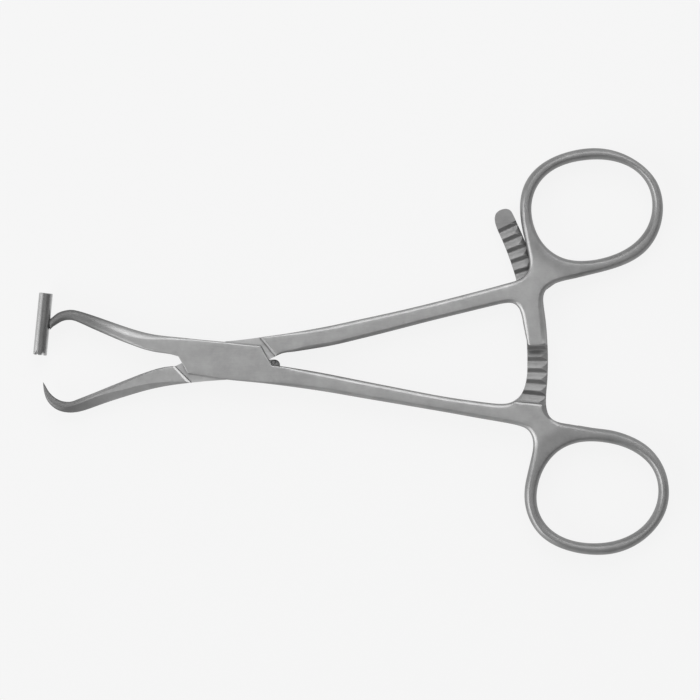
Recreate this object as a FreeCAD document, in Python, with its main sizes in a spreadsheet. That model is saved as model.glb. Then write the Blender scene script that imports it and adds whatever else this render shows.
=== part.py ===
import FreeCAD, Part
import math
import os

import Sketcher

V = FreeCAD.Vector

# Wire reduction forceps, in millimetres. The instrument lies flat: +Z is up,
# +X points from the box lock to the finger rings, and the Z axis is the pivot.
# One half is the box half (upper jaw, box, lower shank and ring); the other
# is the tenon half (lower jaw, tenon, upper shank and ring).

SIZES = {
    # Box lock
    "box_depth": 5.6,
    "cheek_tip_x": 10.35,
    "cheek_tip_y": 1.0,
    "cheek_corner_x": 8.0,
    "cheek_corner_y": 3.0,
    "cheek_waist": 4.07,
    "web_x": 10.4,
    "web_y": 5.1,
    "box_edge_break": 0.25,
    "slot_depth": 2.4,
    "slot_radius": 12.3,
    "tenon_play": 0.05,
    "tenon_tip_x": 11.1,
    "tenon_tip_y": 1.25,
    "tenon_corner_x": 8.5,
    "tenon_corner_y": 5.1,
    "tenon_waist": 4.2,
    "jaw_shoulder_reach": 8.7,
    "jaw_shoulder_slope": 45.0,
    "shank_shoulder_reach": 9.5,
    "shank_shoulder_slope": 50.8,
    "shoulder_span": 8.0,
    "heel_reach": 11.95,
    "heel_low_angle": -10.0,
    "heel_high_angle": 1.5,
    "pin_radius": 1.6,
    "pin_play": 0.05,
    # Finger rings
    "ring_depth": 4.4,
    "ring_bore_long": 27.0,
    "ring_bore_short": 22.3,
    "ring_band_ends": 2.475,
    "ring_band_sides": 2.65,
    "ring_edge_round": 0.9,
    "bore_shift_along": 0.19,
    "bore_shift_out": 0.22,
    "upper_ring_reach": -6.7,
    "upper_ring_hang": -4.35,
    "upper_ring_tilt": 5.1,
    "upper_bore_tilt": 10.2,
    "lower_ring_reach": -6.22,
    "lower_ring_hang": -4.62,
    "lower_ring_tilt": 0.5,
    "lower_bore_tilt": 2.3,
    # Ratchet: both bars are arcs about the pivot, one above the other
    "bar_setback": 3.76,
    "bar_width": 4.5,
    "bar_play": 0.25,
    "lower_bar_end_round": 1.9,
    "upper_bar_end_round": 0.9,
    "blend_step": 0.12,
    "tooth_pitch": 2.09,
    "tooth_depth": 0.7,
    "tooth_play": 0.1,
    "lower_bar_start": -10.5,
    "lower_bar_end": 29.0,
    "lower_step": -8.0,
    "lower_teeth_start": -7.6,
    "lower_teeth_end": 26.0,
    "upper_bar_start": 2.8,
    "upper_bar_end": 15.5,
    "upper_teeth_start": 3.4,
    "upper_teeth_end": 14.0,
    # Wire guide tube
    "tube_outer": 3.05,
    "tube_bore": 1.8,
    "tube_length": 13.7,
    "tube_x": -41.02,
    "tube_y": 1.28,
    "tube_course": 84.3,
    "crown_notch_depth": 0.8,
    "crown_notch_width": 0.9,
}

CROWN_NOTCHES = 6

# Limbs grow from the box outwards. A limb starts at (x, y) on a course in
# degrees from +X. Each station is (run, turn, width, depth): how far it is
# from the one before it, how the course turns there, and the bar's width in
# plan and depth in Z at that place. The bevel is a share of the depth.
LIMBS = {
    "upper_jaw": {
        "start": (-7.93, 2.87), "course": 173.1, "bevel": 0.22, "first": (4.0, 5.4),
        "stations": [
            (4.9, -3.2, 3.79, 5.2),
            (5.4, -8.8, 3.46, 4.6),
            (5.6, -2.3, 3.20, 3.9),
            (5.7, 1.9, 2.80, 3.3),
            (5.6, 30.4, 2.27, 2.7),
            (2.6, 18.6, 2.10, 2.4),
            (1.9, 7.7, 2.00, 2.3),
            (2.2, 0.0, 2.00, 2.3),
        ],
    },
    "lower_shank": {
        "start": (6.0, -1.95), "course": -11.9, "bevel": 0.19, "first": (4.0, 5.4),
        "stations": [
            (6.5, 3.1, 4.14, 5.1),
            (8.5, -1.7, 3.91, 4.8),
            (11.2, 0.2, 3.71, 4.6),
            (15.7, 1.3, 3.34, 4.4),
            (11.2, 4.7, 3.67, 4.4),
            (5.3, -20.0, 4.85, 4.4),
            (5.8, -38.0, 5.20, 4.2),
            (6.6, 18.0, 9.00, 3.8),
        ],
    },
    "lower_jaw": {
        "start": (-6.0, -2.05), "course": 190.9, "bevel": 0.22, "first": (4.0, 5.4),
        "stations": [
            (6.9, 3.1, 4.17, 5.2),
            (5.5, 5.0, 3.75, 4.6),
            (5.6, 1.3, 3.29, 3.9),
            (5.6, 0.2, 2.91, 3.3),
            (3.5, -9.1, 2.75, 2.9),
            (2.7, -21.4, 2.40, 2.6),
            (2.0, -21.1, 2.18, 2.4),
            (1.4, -15.6, 1.95, 2.1),
            (1.4, -12.4, 1.55, 1.7),
            (1.4, -11.2, 1.00, 1.1),
            (2.2, 0.0, 0.16, 0.16),
        ],
    },
    "upper_shank": {
        "start": (6.0, 2.3), "course": 12.1, "bevel": 0.19, "first": (4.0, 5.4),
        "stations": [
            (7.8, -2.8, 4.10, 5.1),
            (7.2, 2.9, 4.28, 4.8),
            (11.3, 1.6, 4.10, 4.6),
            (15.9, 0.2, 3.79, 4.4),
            (11.4, -0.9, 3.93, 4.4),
            (4.5, 18.8, 4.40, 4.4),
            (6.5, 28.9, 5.90, 4.2),
            (5.9, -31.6, 10.00, 3.8),
        ],
    },
}

# Corners of the blends that join bars, shanks and rings, as seen from above,
# measured from the seventh station of the shank that they lie on
BLENDS = {
    "upper_ring_blend": [
        (-0.08, -2.89), (1.80, -6.19), (2.04, -3.99), (2.90, -2.33),
        (4.99, -1.19), (12.02, 0.81), (9.82, 2.11), (2.12, 4.81),
    ],
    "upper_bar_blend": [
        (-6.68, -5.89), (-4.98, -5.89), (-3.88, -6.44), (-3.18, -7.79),
        (-2.78, -9.99), (-0.08, -9.99), (-0.08, -3.49),
    ],
    "lower_ring_blend": [
        (-0.05, 2.03), (3.00, -4.58), (9.15, -2.62), (11.35, -1.02),
        (5.20, 0.32), (3.00, 1.37), (2.01, 2.92), (1.68, 4.24),
    ],
    "lower_bar_blend": [
        (-0.75, 2.98), (-0.75, 8.48), (-2.95, 8.48), (-3.85, 6.48),
        (-5.15, 5.48), (-7.35, 4.68), (-6.85, 2.98),
    ],
}

doc = FreeCAD.newDocument("wire_reduction_forceps")
sizes = doc.addObject("Spreadsheet::Sheet", "Sizes")
places = doc.addObject("Spreadsheet::Sheet", "Places")
rows = {"Sizes": 0, "Places": 0}


def set_cell(sheet, name, text):
    rows[sheet.Name] += 1
    row = rows[sheet.Name]
    sheet.set("A%d" % row, name)
    sheet.set("B%d" % row, text)
    sheet.setAlias("B%d" % row, name)


def size(name, value):
    set_cell(sizes, name, str(value))


def place(name, formula):
    set_cell(places, name, "=" + formula)


def fill_sheets():
    for name, value in SIZES.items():
        size(name, value)
    for limb, data in LIMBS.items():
        size(limb + "_start_x", data["start"][0])
        size(limb + "_start_y", data["start"][1])
        size(limb + "_course", data["course"])
        size(limb + "_bevel", data["bevel"])
        size(limb + "_width_0", data["first"][0])
        size(limb + "_depth_0", data["first"][1])
        for number, (run, turn, width, depth) in enumerate(data["stations"], 1):
            size("%s_run_%d" % (limb, number), run)
            size("%s_turn_%d" % (limb, number), turn)
            size("%s_width_%d" % (limb, number), width)
            size("%s_depth_%d" % (limb, number), depth)
    for blend, corners in BLENDS.items():
        for number, (x, y) in enumerate(corners):
            size("%s_x_%d" % (blend, number), x)
            size("%s_y_%d" % (blend, number), y)
    doc.recompute()
    place("middle", "Sizes.box_depth / 2")
    place("ring_floor", "Places.middle - Sizes.ring_depth / 2")
    place("bar_depth", "(Sizes.ring_depth - Sizes.tooth_play) / 2")
    place("upper_bar_floor", "Places.middle + Sizes.tooth_play / 2")
    place("lower_bar_top", "Places.middle - Sizes.tooth_play / 2")
    for limb, data in LIMBS.items():
        place(limb + "_x_0", "Sizes.%s_start_x" % limb)
        place(limb + "_y_0", "Sizes.%s_start_y" % limb)
        place(limb + "_head_0", "Sizes.%s_course" % limb)
        for number in range(1, len(data["stations"]) + 1):
            names = {"limb": limb, "now": number, "last": number - 1}
            along = "Places.{limb}_head_{last}".format(**names)
            run = "Sizes.{limb}_run_{now}".format(**names)
            turn = "Sizes.{limb}_turn_{now}".format(**names)
            for axis, wave in (("x", "cos"), ("y", "sin")):
                before = "Places.%s_%s_%d" % (limb, axis, number - 1)
                place("%s_%s_%d" % (limb, axis, number), "%s + %s * %s(%s)" % (before, run, wave, along))
            place("%s_head_%d" % (limb, number), "%s + %s" % (along, turn))
    place("ring_outer_long", "Sizes.ring_bore_long + 2 * Sizes.ring_band_ends")
    place("ring_outer_short", "Sizes.ring_bore_short + 2 * Sizes.ring_band_sides")
    place("ring_round", "min(Sizes.ring_edge_round; 0.4 * Sizes.ring_band_ends; 0.4 * Sizes.ring_band_sides)")
    for ring, sign in (("upper", "+"), ("lower", "-")):
        last = "Places.%s_shank_%%s_%d" % (ring, len(LIMBS[ring + "_shank"]["stations"]))
        names = {"ring": ring, "sign": sign, "x": last % "x", "y": last % "y"}
        place(ring + "_ring_x", "{x} + Sizes.{ring}_ring_reach + Places.ring_outer_long / 2".format(**names))
        place(ring + "_ring_y",
              "{y} {sign} (Sizes.{ring}_ring_hang + Places.ring_outer_short / 2)".format(**names))
    place("bar_inner", "sqrt(Places.lower_shank_x_7 ^ 2 + Places.lower_shank_y_7 ^ 2) - Sizes.bar_setback")
    place("bar_outer", "Places.bar_inner + Sizes.bar_width")
    doc.recompute()


def new_body(name):
    body = doc.addObject("PartDesign::Body", name)
    body.Label = name
    return body


def new_sketch(body, name, plane, placement):
    sketch = body.newObject("Sketcher::SketchObject", name)
    support = [f for f in body.Origin.OriginFeatures if f.Role == plane][0]
    sketch.AttachmentSupport = (support, [""])
    sketch.MapMode = "FlatFace"
    sketch.setExpression("AttachmentOffset", placement)
    return sketch


def flat_sketch(body, name, height, x="0", y="0", turn="0"):
    where = "placement(vector(%s; %s; %s); rotation(vector(0; 0; 1); %s))" % (x, y, height, turn)
    return new_sketch(body, name, "XY_Plane", where)


def upright_sketch(body, name, x, y, course):
    """A sketch whose normal lies flat and points along the course; its x axis
    lies flat and its y axis is +Z."""
    where = "placement(vector(%s; Places.middle; %s); rotation(vector(0; 1; 0); %s))" % (y, x, course)
    return new_sketch(body, name, "YZ_Plane", where)


def number_of(expression):
    """The present value of an expression over the sheets."""
    return float(sizes.evalExpression(expression))


def bind(sketch, kind, refs, expression):
    number = sketch.addConstraint(Sketcher.Constraint(kind, *refs, number_of(expression)))
    sketch.setExpression("Constraints[%d]" % number, expression)


def draw_polygon(sketch, corners):
    """A closed outline whose corners are pairs of expressions."""
    guess = [V(number_of(x), number_of(y), 0) for x, y in corners]
    count = len(corners)
    for number in range(count):
        sketch.addGeometry(Part.LineSegment(guess[number], guess[(number + 1) % count]))
    for number in range(count):
        sketch.addConstraint(Sketcher.Constraint("Coincident", number, 2, (number + 1) % count, 1))
    for number, (x, y) in enumerate(corners):
        bind(sketch, "DistanceX", (-1, 1, number, 1), x)
        bind(sketch, "DistanceY", (-1, 1, number, 1), y)


def draw_circle(sketch, radius):
    circle = sketch.addGeometry(Part.Circle(V(0, 0, 0), V(0, 0, 1), number_of(radius)))
    sketch.addConstraint(Sketcher.Constraint("Coincident", circle, 3, -1, 1))
    bind(sketch, "Radius", (circle,), radius)


def draw_oval(sketch, long_axis, short_axis):
    oval = sketch.addGeometry(Part.Ellipse(V(0, 0, 0), number_of(long_axis) / 2, number_of(short_axis) / 2))
    sketch.exposeInternalGeometry(oval)
    sketch.addConstraint(Sketcher.Constraint("Coincident", oval, 3, -1, 1))
    sketch.addConstraint(Sketcher.Constraint("Horizontal", oval + 1))
    bind(sketch, "Distance", (oval + 1,), long_axis)
    bind(sketch, "Distance", (oval + 2,), short_axis)


def draw_arc_band(sketch, inner, outer, start, end):
    """A band between two arcs about the pivot, from one angle to another."""
    low = math.radians(number_of(start))
    high = math.radians(number_of(end))
    radii = (number_of(inner), number_of(outer))
    ends = [[V(r * math.cos(a), r * math.sin(a), 0) for a in (low, high)] for r in radii]
    for radius in radii:
        circle = Part.Circle(V(0, 0, 0), V(0, 0, 1), radius)
        sketch.addGeometry(Part.ArcOfCircle(circle, low, high))
    sketch.addGeometry(Part.LineSegment(ends[0][0], ends[1][0]))
    sketch.addGeometry(Part.LineSegment(ends[0][1], ends[1][1]))
    for arc, radius in ((0, inner), (1, outer)):
        sketch.addConstraint(Sketcher.Constraint("Coincident", arc, 3, -1, 1))
        bind(sketch, "Radius", (arc,), radius)
        for line, arc_end, angle in ((2, 1, start), (3, 2, end)):
            sketch.addConstraint(Sketcher.Constraint("Coincident", line, arc + 1, arc, arc_end))
            bind(sketch, "DistanceY", (-1, 1, line, arc + 1), "(%s) * sin(%s)" % (radius, angle))


def draw_bar_section(sketch, width, depth, bevel):
    """A rectangle with bevelled corners, centred on the sketch's origin."""
    half_w = number_of(width) / 2
    half_d = number_of(depth) / 2
    cut = number_of(bevel)
    corners = [
        V(cut - half_w, -half_d, 0), V(half_w - cut, -half_d, 0),
        V(half_w, cut - half_d, 0), V(half_w, half_d - cut, 0),
        V(half_w - cut, half_d, 0), V(cut - half_w, half_d, 0),
        V(-half_w, half_d - cut, 0), V(-half_w, cut - half_d, 0),
    ]
    for number in range(8):
        sketch.addGeometry(Part.LineSegment(corners[number], corners[(number + 1) % 8]))
    for number in range(8):
        sketch.addConstraint(Sketcher.Constraint("Coincident", number, 2, (number + 1) % 8, 1))
    across = -1
    up = -2
    for first, second, axis in ((0, 1, up), (4, 5, up), (2, 3, across), (6, 7, across), (3, 6, up), (1, 4, across)):
        sketch.addConstraint(Sketcher.Constraint("Symmetric", first, 1, second, 1, axis))
    bind(sketch, "DistanceX", (6, 1, 3, 1), width)
    bind(sketch, "DistanceY", (1, 1, 4, 1), depth)
    bind(sketch, "DistanceX", (0, 1, 1, 1), "%s - 2 * %s" % (width, bevel))
    bind(sketch, "DistanceY", (2, 1, 3, 1), "%s - 2 * %s" % (depth, bevel))


def pad(body, sketch, length, name):
    feature = body.newObject("PartDesign::Pad", name)
    feature.Profile = sketch
    feature.setExpression("Length", length)
    return feature


def pocket(body, sketch, length, name, upward=False):
    feature = body.newObject("PartDesign::Pocket", name)
    feature.Profile = sketch
    feature.setExpression("Length", length)
    feature.Reversed = upward
    return feature


def edges_where(shape, test):
    return ["Edge%d" % number for number, edge in enumerate(shape.Edges, 1) if test(edge)]


def add_limb(body, limb):
    """A bevelled bar with flat sides from each of the limb's stations to the next."""
    sections = []
    for number in range(len(LIMBS[limb]["stations"]) + 1):
        tag = "%s_%d" % (limb, number)
        if number:
            course = "(Places.%s_head_%d + Places.%s_head_%d) / 2" % (limb, number - 1, limb, number)
        else:
            course = "Places.%s_head_0" % limb
        sketch = upright_sketch(body, tag, "Places.%s_x_%d" % (limb, number), "Places.%s_y_%d" % (limb, number), course)
        width = "Sizes.%s_width_%d" % (limb, number)
        depth = "Sizes.%s_depth_%d" % (limb, number)
        draw_bar_section(sketch, width, depth, "Sizes.%s_bevel * %s" % (limb, depth))
        sections.append(sketch)
    loft = body.newObject("PartDesign::AdditiveLoft", limb)
    loft.Profile = sections[0]
    loft.Sections = sections[1:]
    loft.Ruled = True


def add_ring(body, ring, side):
    """A finger ring; side is the sign of Y on which the ring lies."""
    centre_x = "Places.%s_ring_x" % ring
    centre_y = "Places.%s_ring_y" % ring
    rim = flat_sketch(body, ring + "_ring_outline", "Places.ring_floor", centre_x, centre_y,
                      "Sizes.%s_ring_tilt" % ring)
    draw_oval(rim, "Places.ring_outer_long", "Places.ring_outer_short")
    pad(body, rim, "Sizes.ring_depth", ring + "_ring_blank")
    bore = flat_sketch(body, ring + "_bore_outline", "Places.ring_floor",
                       centre_x + " + Sizes.bore_shift_along",
                       centre_y + " + %d * Sizes.bore_shift_out" % side,
                       "Sizes.%s_bore_tilt" % ring)
    draw_oval(bore, "Sizes.ring_bore_long", "Sizes.ring_bore_short")
    hole = pocket(body, bore, "Sizes.ring_depth", ring + "_ring_bore", upward=True)
    doc.recompute()
    rounding = body.newObject("PartDesign::Fillet", ring + "_ring_round")
    rounding.Base = (hole, edges_where(hole.Shape, lambda edge: isinstance(edge.Curve, Part.Ellipse)))
    rounding.setExpression("Radius", "Places.ring_round")


def add_box_blank(body, name, corners):
    """A flat block the depth of the box with its edges broken."""
    outline = flat_sketch(body, name + "_outline", "0")
    draw_polygon(outline, corners)
    block = pad(body, outline, "Sizes.box_depth", name)
    doc.recompute()

    def on_block_face(edge):
        inside = abs(edge.BoundBox.Center.x) < 2 * number_of("Sizes.tenon_tip_x")
        return inside and edge.BoundBox.ZLength < 0.01

    edge_break = body.newObject("PartDesign::Chamfer", name + "_edges")
    edge_break.Base = (block, edges_where(block.Shape, on_block_face))
    edge_break.setExpression("Size", "Sizes.box_edge_break")


def mirrored(corners):
    """The corners and the same corners turned half a turn about the pivot."""
    return corners + [("-(%s)" % x, "-(%s)" % y) for x, y in corners]


def add_bar(body, half, floor):
    """A ratchet bar, with the corners of its free end rounded."""
    band = flat_sketch(body, half + "_bar_outline", floor)
    draw_arc_band(band, "Places.bar_inner", "Places.bar_outer",
                  "Sizes.%s_bar_start" % half, "Sizes.%s_bar_end" % half)
    bar = pad(body, band, "Places.bar_depth", half + "_bar")
    doc.recompute()
    free_end = {"lower": "Sizes.lower_bar_end", "upper": "Sizes.upper_bar_start"}[half]
    angle = math.radians(number_of(free_end))
    corners = [V(radius * math.cos(angle), radius * math.sin(angle), 0)
               for radius in (number_of("Places.bar_inner"), number_of("Places.bar_outer"))]

    def at_corner(edge):
        centre = edge.BoundBox.Center
        upright = edge.BoundBox.ZLength > 0.9 * number_of("Places.bar_depth")
        return upright and min((V(centre.x, centre.y, 0) - c).Length for c in corners) < 0.01

    rounding = body.newObject("PartDesign::Fillet", half + "_bar_round")
    rounding.Base = (bar, edges_where(bar.Shape, at_corner))
    rounding.setExpression("Radius", "Sizes.%s_bar_end_round" % half)


def add_blend(body, blend, shank, floor, depth):
    """A blend lies a small step inside the faces that it joins."""
    outline = flat_sketch(body, blend + "_outline", floor + " + Sizes.blend_step")
    draw_polygon(outline, [("Places.%s_x_7 + Sizes.%s_x_%d" % (shank, blend, number),
                            "Places.%s_y_7 + Sizes.%s_y_%d" % (shank, blend, number))
                           for number in range(len(BLENDS[blend]))])
    pad(body, outline, depth + " - 2 * Sizes.blend_step", blend)


def add_teeth(body, half, surface, upward):
    """Saw teeth across a ratchet bar. The first notch is cut with a sketch
    that faces outwards, and is repeated about the pivot."""
    angle = "Sizes.%s_teeth_start" % half
    pitch = "2 * Places.bar_outer * tan(Sizes.tooth_pitch / 2)"
    radius = "(Places.bar_inner - Sizes.bar_play)"
    where = "placement(vector(%s * sin(%s); %s; %s * cos(%s)); rotation(vector(0; 1; 0); %s))" % (
        radius, angle, surface, radius, angle, angle)
    notch = new_sketch(body, half + "_tooth_outline", "YZ_Plane", where)
    if upward:
        corners = [("0", "0"), (pitch, "0"), (pitch, "-Sizes.tooth_depth")]
    else:
        corners = [("0", "0"), (pitch, "0"), ("0", "Sizes.tooth_depth")]
    draw_polygon(notch, corners)
    cut = pocket(body, notch, "Places.bar_outer - Places.bar_inner + 2 * Sizes.bar_play",
                 half + "_tooth", upward=True)
    doc.recompute()
    axis = [f for f in body.Origin.OriginFeatures if f.Role == "Z_Axis"][0]
    count = int(number_of("(Sizes.%s_teeth_end - %s) / Sizes.tooth_pitch" % (half, angle)))
    teeth = body.newObject("PartDesign::PolarPattern", half + "_teeth")
    teeth.Originals = [cut]
    teeth.Axis = (axis, [""])
    teeth.Occurrences = count
    teeth.setExpression("Angle", "Sizes.tooth_pitch * %d" % (count - 1))
    body.Tip = teeth
    return cut


def make_box_half():
    body = new_body("box_half")
    add_ring(body, "lower", -1)
    add_box_blank(body, "box", mirrored([
        ("-Sizes.cheek_tip_x", "Sizes.cheek_tip_y"),
        ("-Sizes.cheek_corner_x", "-Sizes.cheek_corner_y"),
        ("0", "-Sizes.cheek_waist"),
        ("Sizes.web_x", "-Sizes.web_y"),
    ]))
    add_limb(body, "lower_shank")
    add_limb(body, "upper_jaw")
    add_blend(body, "lower_ring_blend", "lower_shank", "Places.ring_floor", "Sizes.ring_depth")
    add_bar(body, "lower", "Places.ring_floor")
    add_blend(body, "lower_bar_blend", "lower_shank", "Places.ring_floor", "Places.bar_depth")

    slot = flat_sketch(body, "slot_outline", "Places.middle - Sizes.slot_depth / 2")
    draw_circle(slot, "Sizes.slot_radius")
    pocket(body, slot, "Sizes.slot_depth", "slot", upward=True)

    hole = flat_sketch(body, "cheek_hole_outline", "0")
    draw_circle(hole, "Sizes.pin_radius")
    pocket(body, hole, "Sizes.box_depth", "cheek_holes", upward=True)

    relief = flat_sketch(body, "step_outline", "Places.lower_bar_top")
    draw_arc_band(relief, "Places.bar_inner - Sizes.bar_play", "Places.bar_outer + Sizes.bar_play",
                  "Sizes.lower_step", "Sizes.lower_bar_end + Sizes.tooth_pitch")
    pocket(body, relief, "Sizes.box_depth", "step", upward=True)
    add_teeth(body, "lower", "Places.lower_bar_top", upward=True)

    seat = upright_sketch(body, "guide_seat_outline", "Sizes.tube_x", "Sizes.tube_y", "Sizes.tube_course")
    draw_circle(seat, "Sizes.tube_outer / 2")
    pocket(body, seat, "Sizes.tube_length", "guide_seat", upward=True)
    return body


def make_tenon_half():
    body = new_body("tenon_half")
    add_ring(body, "upper", 1)
    add_box_blank(body, "hub", mirrored([
        ("Sizes.tenon_corner_x", "Sizes.tenon_corner_y"),
        ("0", "Sizes.tenon_waist"),
        ("-Sizes.tenon_tip_x", "-Sizes.tenon_tip_y"),
    ]))
    add_limb(body, "upper_shank")
    add_limb(body, "lower_jaw")
    add_blend(body, "upper_ring_blend", "upper_shank", "Places.ring_floor", "Sizes.ring_depth")
    add_bar(body, "upper", "Places.upper_bar_floor")
    add_blend(body, "upper_bar_blend", "upper_shank", "Places.upper_bar_floor", "Places.bar_depth")

    corners = []
    for side, limb in ((-1, "jaw"), (1, "shank")):
        reach = "Sizes.%s_shoulder_reach" % limb
        slope = "Sizes.%s_shoulder_slope" % limb
        for end in (side, -side):
            corners.append((
                "%d * %s * sin(%s) + %d * Sizes.shoulder_span * cos(%s)" % (side, reach, slope, end, slope),
                "%d * %s * cos(%s) + %d * Sizes.shoulder_span * sin(%s)" % (side, reach, slope, -end, slope),
            ))
    tenon_depth = "(Sizes.slot_depth - 2 * Sizes.tenon_play)"
    above = flat_sketch(body, "tenon_top_outline", "Places.middle + %s / 2" % tenon_depth)
    draw_polygon(above, corners)
    pocket(body, above, "Sizes.box_depth", "tenon_top", upward=True)
    below = flat_sketch(body, "tenon_floor_outline", "Places.middle - %s / 2" % tenon_depth)
    draw_polygon(below, corners)
    pocket(body, below, "Sizes.box_depth", "tenon_floor")

    heel = flat_sketch(body, "heel_outline", "Places.middle - %s / 2" % tenon_depth)
    draw_arc_band(heel, "Sizes.tenon_waist", "Sizes.heel_reach", "Sizes.heel_low_angle", "Sizes.heel_high_angle")
    pad(body, heel, tenon_depth, "heel")

    hole = flat_sketch(body, "tenon_hole_outline", "0")
    draw_circle(hole, "Sizes.pin_radius + Sizes.pin_play")
    pocket(body, hole, "Sizes.box_depth", "tenon_hole", upward=True)

    relief = flat_sketch(body, "bar_passage_outline", "Places.upper_bar_floor")
    draw_arc_band(relief, "Places.bar_inner - Sizes.bar_play", "Places.bar_outer + Sizes.bar_play",
                  "Sizes.upper_bar_start - Sizes.tooth_pitch", "Sizes.lower_bar_end")
    pocket(body, relief, "Sizes.box_depth", "bar_passage")
    add_teeth(body, "upper", "Places.upper_bar_floor", upward=False)
    return body


def make_lock_pin():
    body = new_body("lock_pin")
    end = flat_sketch(body, "pin_outline", "0")
    draw_circle(end, "Sizes.pin_radius")
    pad(body, end, "Sizes.box_depth", "pin")
    return body


def make_wire_guide_tube():
    body = new_body("wire_guide_tube")
    outside = upright_sketch(body, "tube_outline", "Sizes.tube_x", "Sizes.tube_y", "Sizes.tube_course")
    draw_circle(outside, "Sizes.tube_outer / 2")
    pad(body, outside, "Sizes.tube_length", "tube_blank")
    inside = upright_sketch(body, "tube_bore_outline", "Sizes.tube_x", "Sizes.tube_y", "Sizes.tube_course")
    draw_circle(inside, "Sizes.tube_bore / 2")
    pocket(body, inside, "Sizes.tube_length", "tube_bore", upward=True)

    notch = flat_sketch(body, "notch_outline", "Places.middle", "Sizes.tube_x", "Sizes.tube_y",
                        "Sizes.tube_course - 90")
    draw_polygon(notch, [
        ("-Sizes.crown_notch_width / 2", "0"),
        ("Sizes.crown_notch_width / 2", "0"),
        ("0", "Sizes.crown_notch_depth"),
    ])
    cut = pocket(body, notch, "Sizes.tube_outer", "notch", upward=True)
    doc.recompute()
    crown = body.newObject("PartDesign::PolarPattern", "crown")
    crown.Originals = [cut]
    crown.Axis = (outside, ["N_Axis"])
    crown.Angle = 360
    crown.Occurrences = CROWN_NOTCHES
    body.Tip = crown
    return body


fill_sheets()
parts = [make_box_half(), make_tenon_half(), make_lock_pin(), make_wire_guide_tube()]
doc.recompute()

for item in doc.Objects:
    if "Invalid" in item.State or "Error" in item.State:
        raise RuntimeError("%s did not build: %s" % (item.Name, item.State))
for part in parts:
    shape = part.Shape
    if shape.isNull() or not shape.isValid() or len(shape.Solids) != 1:
        raise RuntimeError("%s is not one valid solid" % part.Label)

os.makedirs("parts", exist_ok=True)
for part in parts:
    part.Shape.exportStep("parts/%s.step" % part.Label)
    box = part.Shape.BoundBox
    print("%-16s volume %9.2f  x %.2f..%.2f  y %.2f..%.2f  z %.2f..%.2f" % (
        part.Label, part.Shape.Volume, box.XMin, box.XMax, box.YMin, box.YMax, box.ZMin, box.ZMax))
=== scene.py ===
"""Looks of the wire reduction forceps.

Every object is in metres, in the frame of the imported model: +Z up, +X from the
box lock to the finger rings, and the pivot on the Z axis. The outlines below
are in millimetres."""
import math

import bmesh
import bpy
import numpy as np
from bpy.props import FloatProperty, FloatVectorProperty, IntProperty, PointerProperty
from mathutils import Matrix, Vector
from mathutils.geometry import delaunay_2d_cdt


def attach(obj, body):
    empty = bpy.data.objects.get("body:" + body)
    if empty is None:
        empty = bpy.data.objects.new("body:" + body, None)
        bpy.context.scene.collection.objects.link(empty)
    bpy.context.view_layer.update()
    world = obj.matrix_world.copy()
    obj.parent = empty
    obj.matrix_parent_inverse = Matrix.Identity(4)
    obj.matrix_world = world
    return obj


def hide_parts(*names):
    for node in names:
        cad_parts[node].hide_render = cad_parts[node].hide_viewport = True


bl_info = {
    "name": "Wire reduction forceps",
    "version": (1, 0, 0),
    "blender": (4, 5, 0),
    "location": "3D View > Sidebar > Forceps",
    "description": "Builds the two forged halves, the lock pin and the wire guide of the forceps",
    "category": "Add Mesh",
}

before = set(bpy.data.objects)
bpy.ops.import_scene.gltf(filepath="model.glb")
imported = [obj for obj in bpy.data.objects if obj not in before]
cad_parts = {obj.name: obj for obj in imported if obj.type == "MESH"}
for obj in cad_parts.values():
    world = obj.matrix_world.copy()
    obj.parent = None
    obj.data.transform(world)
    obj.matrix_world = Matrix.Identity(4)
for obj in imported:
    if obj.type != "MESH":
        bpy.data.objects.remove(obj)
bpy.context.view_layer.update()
MM = 0.001


def even(edge, roundness, *places):
    """Points of an outline that share one worked edge."""
    return [(x, y, edge, roundness) for x, y in places]


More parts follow.
